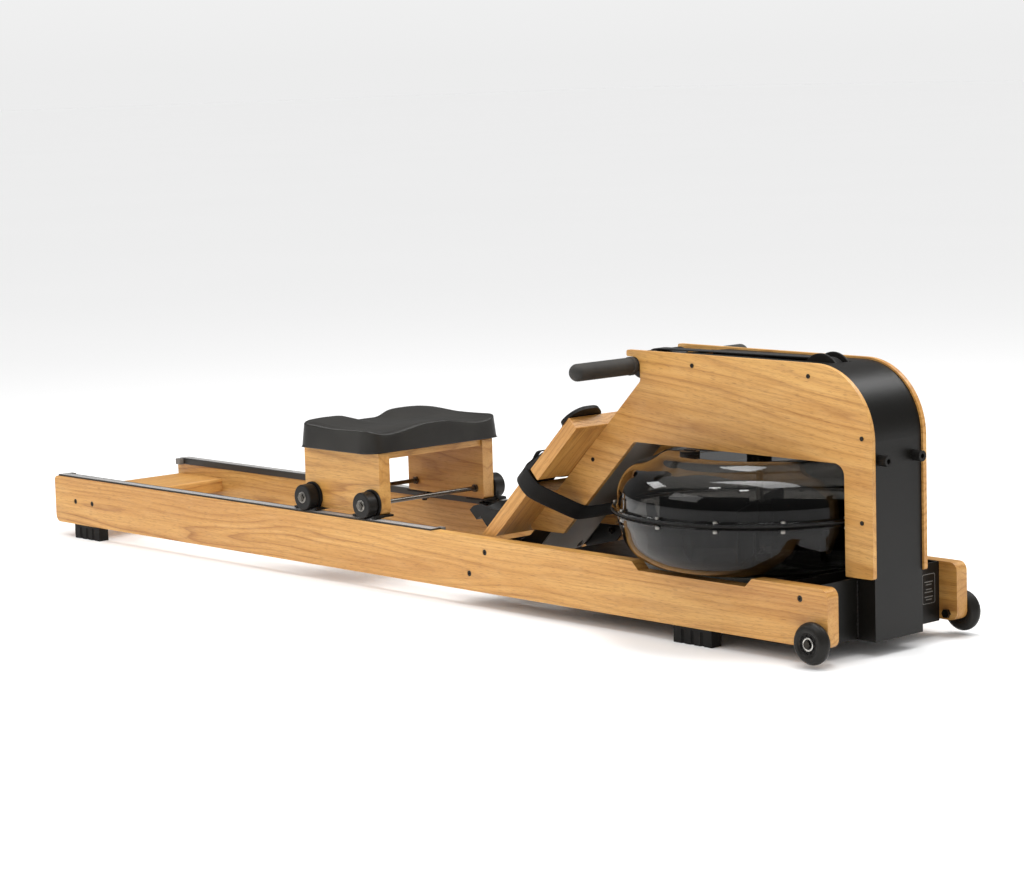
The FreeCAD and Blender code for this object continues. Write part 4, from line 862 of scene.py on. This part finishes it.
def build_roller_faces():
    """Ball bearing, bolt and washer seen in each roller's outer face."""
    for side_name, side, end_name in CORNERS:
        node = "%s_%s_roller" % (side_name, end_name)
        low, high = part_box(node)
        centre = (low + high) / 2
        face = centre + Vector((0, side * (high.y - low.y) / 2, 0))
        work = bmesh.new()
        out = side * 0.0006
        lathe(work, [(0.0046, -out * 4), (0.0046, out), (0.0068, out), (0.0070, out * 0.2),
                     (0.0078, out * 0.2), (0.0080, out), (0.0101, out), (0.0104, 0.0),
                     (0.0104, -out * 4)], face, "Y", 48)
        ring = bmesh_object(node + "_bearing", work, BEARING)
        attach(ring, "%s_%s_wheel" % (side_name, end_name))


def build_roller_guards():
    """Moulded fender on the inner side of each roller, with a shoe before and behind it."""
    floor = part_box("near_track")[1].z + 0.0012
    for side_name, side, end_name in CORNERS:
        node = "%s_%s_roller" % (side_name, end_name)
        low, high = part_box(node)
        centre = (low + high) / 2
        rad = (high.x - low.x) / 2 + 0.0032
        inner = abs(centre.y) - (high.y - low.y) / 2
        work = bmesh.new()
        start = math.asin((floor - centre.z) / rad)
        outline = []
        for i in range(GUARD_STEPS + 1):
            angle = start + (math.pi - 2 * start) * i / GUARD_STEPS
            outline.append(Vector((centre.x + rad * math.cos(angle), side * (inner - 0.0052),
                                   centre.z + rad * math.sin(angle))))
        add_prism(work, outline, Vector((0, side * 0.0040, 0)))
        for end in (-1, 1):
            near = centre.x + end * 0.0205
            far = centre.x + end * 0.0325
            shoe = [(near, floor), (far, floor), (far, floor + 0.0042),
                    (near + end * 0.004, floor + 0.0052), (near, floor + 0.0030)]
            add_prism(work, [Vector((x, side * (inner - 0.0050), z)) for x, z in shoe],
                      Vector((0, side * 0.0200, 0)))
        guard = bmesh_object(node + "_fender", work, PLASTIC, smooth=False)
        bevel(guard, 0.0005)
        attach(guard, "seat")


def build_wheel_faces():
    """Slotted hub face, bearing ring and bolt of each transport wheel."""
    for side_name, side in SIDES:
        node = side_name + "_wheel_hub"
        low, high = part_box(node)
        centre = (low + high) / 2
        hub_rad = (high.x - low.x) / 2
        face = centre + Vector((0, side * 0.0086, 0))
        out = side * 0.001
        work = bmesh.new()
        lathe(work, [(0.0075, out * 0.5), (0.0078, out * 1.6), (0.0106, out * 1.6),
                     (0.0109, out * 0.4)], face, "Y", 56)
        ring = bmesh_object(side_name + "_wheel_bearing", work, ZINC)
        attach(ring, side_name + "_transport_wheel")
        work = bmesh.new()
        lathe(work, [(hub_rad - 0.0016, 0.0), (hub_rad - 0.0012, out * 1.8),
                     (hub_rad + 0.0008, out * 1.8), (hub_rad + 0.0012, 0.0)], face, "Y", 64)
        lathe(work, [(0.0110, 0.0), (0.0112, out * 1.6), (0.0122, out * 1.6), (0.0124, 0.0)],
              face, "Y", 64)
        for i in range(WHEEL_SPOKES):
            add_spoke(work, face, 2 * math.pi * i / WHEEL_SPOKES, 0.0116, hub_rad - 0.0008,
                      0.0011, out * 1.5)
        rim = bmesh_object(side_name + "_wheel_spokes", work, PLASTIC)
        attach(rim, side_name + "_transport_wheel")


def add_spoke(work, face, angle, inner, outer, half_wide, out):
    """One flat rib from an inner to an outer radius on a wheel's face."""
    along = Vector((math.cos(angle), 0, math.sin(angle)))
    across = Vector((-math.sin(angle), 0, math.cos(angle)))
    lift = Vector((0, out, 0))
    base = []
    top = []
    for reach, sign in ((inner, -1), (outer, -1), (outer, 1), (inner, 1)):
        spot = face + along * reach + across * (half_wide * sign)
        base.append(work.verts.new(spot))
        top.append(work.verts.new(spot + lift))
    work.faces.new(top)
    for i in range(4):
        j = (i + 1) % 4
        work.faces.new((base[i], base[j], top[j], top[i]))


# ------ tank

TANK_WALL = 0.0035
BOWL_RIBS = 12
DROPS = 420


def rounded_profile(points, steps=7):
    """(radius, height) points with a third entry as corner radius, made into a fine line."""
    made = []
    for i, point in enumerate(points):
        if len(point) < 3:
            made.append(Vector(point[:2]))
            continue
        here = Vector(point[:2])
        back = Vector(points[i - 1][:2]) - here
        ahead = Vector(points[i + 1][:2]) - here
        reach = min(point[2], back.length * 0.48, ahead.length * 0.48)
        first = here + back.normalized() * reach
        last = here + ahead.normalized() * reach
        for k in range(steps + 1):
            u = k / steps
            made.append(first * (1 - u) ** 2 + here * (2 * u * (1 - u)) + last * u ** 2)
    return [(v.x, v.y) for v in made]


def turned_shell(name, outside, centre, node):
    """A thin turned shell: the outside line, and the same line moved in by the wall."""
    line = rounded_profile(outside)
    inside = []
    for i, (radius, height) in enumerate(line):
        before = line[max(i - 1, 0)]
        after = line[min(i + 1, len(line) - 1)]
        run = Vector((after[0] - before[0], after[1] - before[1])).normalized()
        inside.append((max(radius - run.y * TANK_WALL, 0.0), height + run.x * TANK_WALL))
    work = bmesh.new()
    lathe(work, line + list(reversed(inside)), centre, "Z", 160)
    shell = bmesh_object(name, work, TANK)
    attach(shell, "frame")
    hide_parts(node)


def build_tank():
    """Lower bowl and upper dome of the clear tank, with moulded ribs inside the bowl and
    droplets under the dome. Lines are (radius, height, corner radius)."""
    low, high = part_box("tank_bowl")
    dome_low, dome_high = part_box("tank_dome")
    centre = Vector(((low.x + high.x) / 2, (low.y + high.y) / 2, low.z))
    ring = (high.x - low.x) / 2
    seam = high.z - low.z
    top = dome_high.z - low.z
    bowl = [(0.0, 0.0), (0.146, 0.0, 0.030), (0.190, 0.009, 0.040), (0.219, 0.034, 0.034),
            (0.2315, 0.078, 0.030), (ring - 0.0085, seam - 0.006, 0.001),
            (ring - 0.0005, seam - 0.006, 0.001), (ring - 0.0005, seam - 0.0004)]
    turned_shell("clear_bowl", bowl, centre, "tank_bowl")
    start = dome_low.z - low.z
    dome = [(ring - 0.0005, start + 0.0004), (ring - 0.0005, start + 0.004, 0.001),
            (ring - 0.0085, start + 0.004, 0.002), (ring - 0.0090, seam + 0.036, 0.030),
            (0.214, top - 0.024, 0.024), (0.172, top - 0.010, 0.022), (0.156, top, 0.014),
            (0.012, top)]
    turned_shell("clear_dome", dome, centre, "tank_dome")
    build_bowl_ribs(centre, seam)
    build_droplets(centre, dome)


def build_bowl_ribs(centre, seam):
    """Upright vanes moulded inside the bowl, standing just off its wall."""
    work = bmesh.new()
    for i in range(BOWL_RIBS):
        angle = 2 * math.pi * (i + 0.35) / BOWL_RIBS
        out = Vector((math.cos(angle), math.sin(angle), 0))
        side = Vector((-math.sin(angle), math.cos(angle), 0))
        outline = [(0.204, 0.032), (0.222, 0.052), (0.2255, seam - 0.012), (0.209, seam - 0.012),
                   (0.200, 0.056)]
        points = [centre + out * radius + Vector((0, 0, height)) - side * 0.0013
                  for radius, height in outline]
        add_prism(work, points, side * 0.0026)
    ribs = bmesh_object("bowl_ribs", work, PADDLE, smooth=False)
    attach(ribs, "frame")


def build_droplets(centre, dome):
    """Condensed drops hanging on the inside of the dome, most near its shoulder."""
    rng = random.Random(11)
    line = rounded_profile(dome)
    work = bmesh.new()
    for _ in range(DROPS):
        place = rng.uniform(0.30, 0.86)
        at = place * (len(line) - 1)
        i = int(at)
        radius, height = (a + (b - a) * (at - i) for a, b in zip(line[i], line[i + 1]))
        angle = rng.uniform(0, 2 * math.pi)
        size = rng.uniform(0.0005, 0.0013)
        inset = 0.0036 + size * 0.5
        reach = radius - inset * 0.8
        spot = centre + Vector((reach * math.cos(angle), reach * math.sin(angle),
                                height - inset * 0.7))
        bmesh.ops.create_icosphere(work, subdivisions=1, radius=size,
                                   matrix=Matrix.Translation(spot))
    drops = bmesh_object("dome_drops", work, DROP)
    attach(drops, "frame")


# ------ welds and label

WELD_STEPS = 72


def build_welds():
    """Weld beads where the front box meets the post."""
    box_low, box_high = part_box("front_cross_box")
    cover_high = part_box("outer_cover")[1]
    for side_name, side in SIDES:
        foot = Vector((box_high.x + 0.0004, side * (cover_high.y + 0.0003), box_low.z + 0.003))
        rise = box_high.z - 0.004 - foot.z
        work = bmesh.new()
        rings = []
        for i in range(WELD_STEPS + 1):
            ripple = 0.5 + 0.5 * math.sin(i * 1.15)
            lump = 1.0 + 0.25 * noise.noise(Vector((i * 0.35, side * 3.0, 0.0)))
            rad = 0.0016 + 0.0008 * ripple * lump
            height = foot.z + rise * i / WELD_STEPS
            rings.append([work.verts.new((foot.x + rad * math.cos(2 * math.pi * k / 12),
                                          foot.y + rad * math.sin(2 * math.pi * k / 12), height))
                          for k in range(12)])
        for first, second in zip(rings, rings[1:]):
            bridge(work, first, second)
        work.faces.new(rings[0])
        work.faces.new(rings[-1])
        bead = bmesh_object(side_name + "_weld", work, STEEL_BLACK)
        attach(bead, "frame")


LABEL_LEFT, LABEL_RIGHT = 0.0990, 0.1300
LABEL_FOOT, LABEL_TOP = 0.0560, 0.1040
LABEL_CORNER = 0.0035
LABEL_LIFT = 0.0002


def build_label():
    """A blank plate on the front box, beside the post: an outline with plain bars in it."""
    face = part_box("front_cross_box")[1].x
    left, right = LABEL_LEFT + LABEL_CORNER, LABEL_RIGHT - LABEL_CORNER
    foot, top = LABEL_FOOT + LABEL_CORNER, LABEL_TOP - LABEL_CORNER
    corners = ((right, top, 0), (left, top, 90), (left, foot, 180), (right, foot, 270))
    work = bmesh.new()
    loops = []
    for inset, lift in ((0.0, 0.0002), (0.0, 0.0006), (0.0009, 0.0006), (0.0009, 0.0003)):
        reach = LABEL_CORNER - inset
        loop = []
        for y, z, turn in corners:
            for k in range(7):
                angle = math.radians(turn + 15 * k)
                loop.append(work.verts.new((face + lift, y + reach * math.cos(angle),
                                            z + reach * math.sin(angle))))
        loops.append(loop)
    for first, second in zip(loops, loops[1:]):
        bridge(work, first, second)
    middle = (LABEL_LEFT + LABEL_RIGHT) / 2
    for row in range(3):
        for k in range(2):
            half = 0.010 - 0.003 * ((row + k) % 2)
            high = LABEL_TOP - 0.012 * (row + 1) - 0.0045 * k
            points = [(middle - half, high), (middle + half, high),
                      (middle + half, high - 0.0014), (middle - half, high - 0.0014)]
            add_prism(work, [Vector((face + LABEL_LIFT, y, z)) for y, z in points],
                      Vector((0.0004, 0, 0)))
    plate = bmesh_object("blank_label", work, GREY_PLASTIC, smooth=False)
    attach(plate, "frame")


# ------ camera, light, floor

FLOOR_REACH = 60.0
# name, place, target, width, height, watts, and a colour where it isn't white
LAMPS = (
    ("key_left", (-1.0, -3.8, 2.6), (0.3, 0, 0.2), 2.2, 1.4, 26.0, (1.0, 0.99, 0.97)),
    ("top", (0.6, 0.3, 3.0), (0.5, 0, 0.2), 2.4, 0.9, 52.0),
    ("back_right", (1.35, 2.1, 2.7), (0.95, 0, 0.55), 1.3, 0.9, 30.0),
    ("left_high", (-1.7, -0.8, 2.1), (0.55, 0, 0.3), 1.0, 0.6, 16.0),
    ("spot_one", (0.2, -1.2, 3.0), (0.7, 0, 0.3), 0.30, 0.30, 8.0),
    ("spot_two", (1.3, -1.3, 3.0), (0.7, 0, 0.3), 0.30, 0.30, 8.0),
)
# (height of a direction, level): what the eye sees, and what gloss reflects
BRIGHT_SKY = ((0.0, 0.845), (0.12, 0.98))
DIM_SKY = ((0.0, 0.16), (0.5, 0.22), (0.9, 0.5))
CAMERA_PLACE = (4.00695, -3.5014, 0.9307)
CAMERA_YAW = math.radians(-47.775)
CAMERA_PITCH = math.radians(-7.327)
CAMERA_ROLL = math.radians(-1.598)
CAMERA_LENS = 104.87


def build_stage():
    """Floor, lamps, and a bright backdrop that fades into the floor at the horizon."""
    reach = FLOOR_REACH
    floor = mesh_object("studio_floor", [(-reach, -reach, 0), (reach, -reach, 0),
                                         (reach, reach, 0), (-reach, reach, 0)],
                        [(0, 1, 2, 3)], pale_floor("studio_floor"), smooth=False)
    world = bpy.data.worlds.new("studio")
    bpy.context.scene.world = world
    world.use_nodes = True
    tree = world.node_tree
    backdrop = tree.nodes["Background"]
    backdrop.inputs["Strength"].default_value = 1.0
    rays = tree.nodes.new("ShaderNodeLightPath")
    place = tree.nodes.new("ShaderNodeTexCoord")
    split = tree.nodes.new("ShaderNodeSeparateXYZ")
    choice = tree.nodes.new("ShaderNodeMix")
    choice.data_type = "RGBA"
    height = split.outputs["Z"]
    for source, socket in ((place.outputs["Generated"], split.inputs[0]),
                           (rays.outputs["Is Glossy Ray"], choice.inputs[0]),
                           (sky_ramp(tree, height, BRIGHT_SKY), choice.inputs[6]),
                           (sky_ramp(tree, height, DIM_SKY), choice.inputs[7]),
                           (choice.outputs[2], backdrop.inputs["Color"])):
        tree.links.new(source, socket)
    for lamp in LAMPS:
        add_lamp(*lamp)
    bpy.context.scene.view_settings.view_transform = "Standard"


def sky_ramp(tree, height, stops):
    """A grey that changes with height above the horizon."""
    made = tree.nodes.new("ShaderNodeValToRGB")
    line = made.color_ramp
    while len(line.elements) < len(stops):
        line.elements.new(1.0)
    for element, (place, level) in zip(line.elements, stops):
        element.position = place
        element.color = (level, level, level, 1)
    tree.links.new(height, made.inputs["Fac"])
    return made.outputs["Color"]


def add_lamp(name, place, target, wide, tall, power, colour=(1.0, 1.0, 1.0)):
    light = bpy.data.lights.new(name, "AREA")
    light.shape = "RECTANGLE"
    light.size = wide
    light.size_y = tall
    light.energy = power
    light.color = colour
    obj = bpy.data.objects.new(name, light)
    obj.location = place
    aim = Vector(target) - Vector(place)
    obj.visible_camera = False
    obj.rotation_mode = "QUATERNION"
    obj.rotation_quaternion = aim.to_track_quat("-Z", "Y")
    bpy.context.scene.collection.objects.link(obj)


def build_camera():
    flat = math.cos(CAMERA_PITCH)
    ahead = Vector((flat * math.sin(CAMERA_YAW), flat * math.cos(CAMERA_YAW),
                    math.sin(CAMERA_PITCH)))
    right = Vector((math.cos(CAMERA_YAW), -math.sin(CAMERA_YAW), 0))
    up = right.cross(ahead)
    right_turned = right * math.cos(CAMERA_ROLL) + up * math.sin(CAMERA_ROLL)
    up_turned = up * math.cos(CAMERA_ROLL) - right * math.sin(CAMERA_ROLL)
    data = bpy.data.cameras.new("view")
    data.sensor_width = 36.0
    data.lens = CAMERA_LENS
    data.clip_start = 0.05
    data.clip_end = 200.0
    camera = bpy.data.objects.new("view", data)
    turn = Matrix((right_turned, up_turned, -ahead)).transposed().to_4x4()
    camera.matrix_world = Matrix.Translation(CAMERA_PLACE) @ turn
    bpy.context.scene.collection.objects.link(camera)
    bpy.context.scene.camera = camera


dress_frame()
build_seat_pad()
build_pull_strap()
build_strap_on_hub()
build_drive_strap()
build_foot_strap()
build_roller_faces()
build_roller_guards()
build_wheel_faces()
build_tank()
build_welds()
build_label()
build_stage()
build_camera()

bpy.context.view_layer.update()
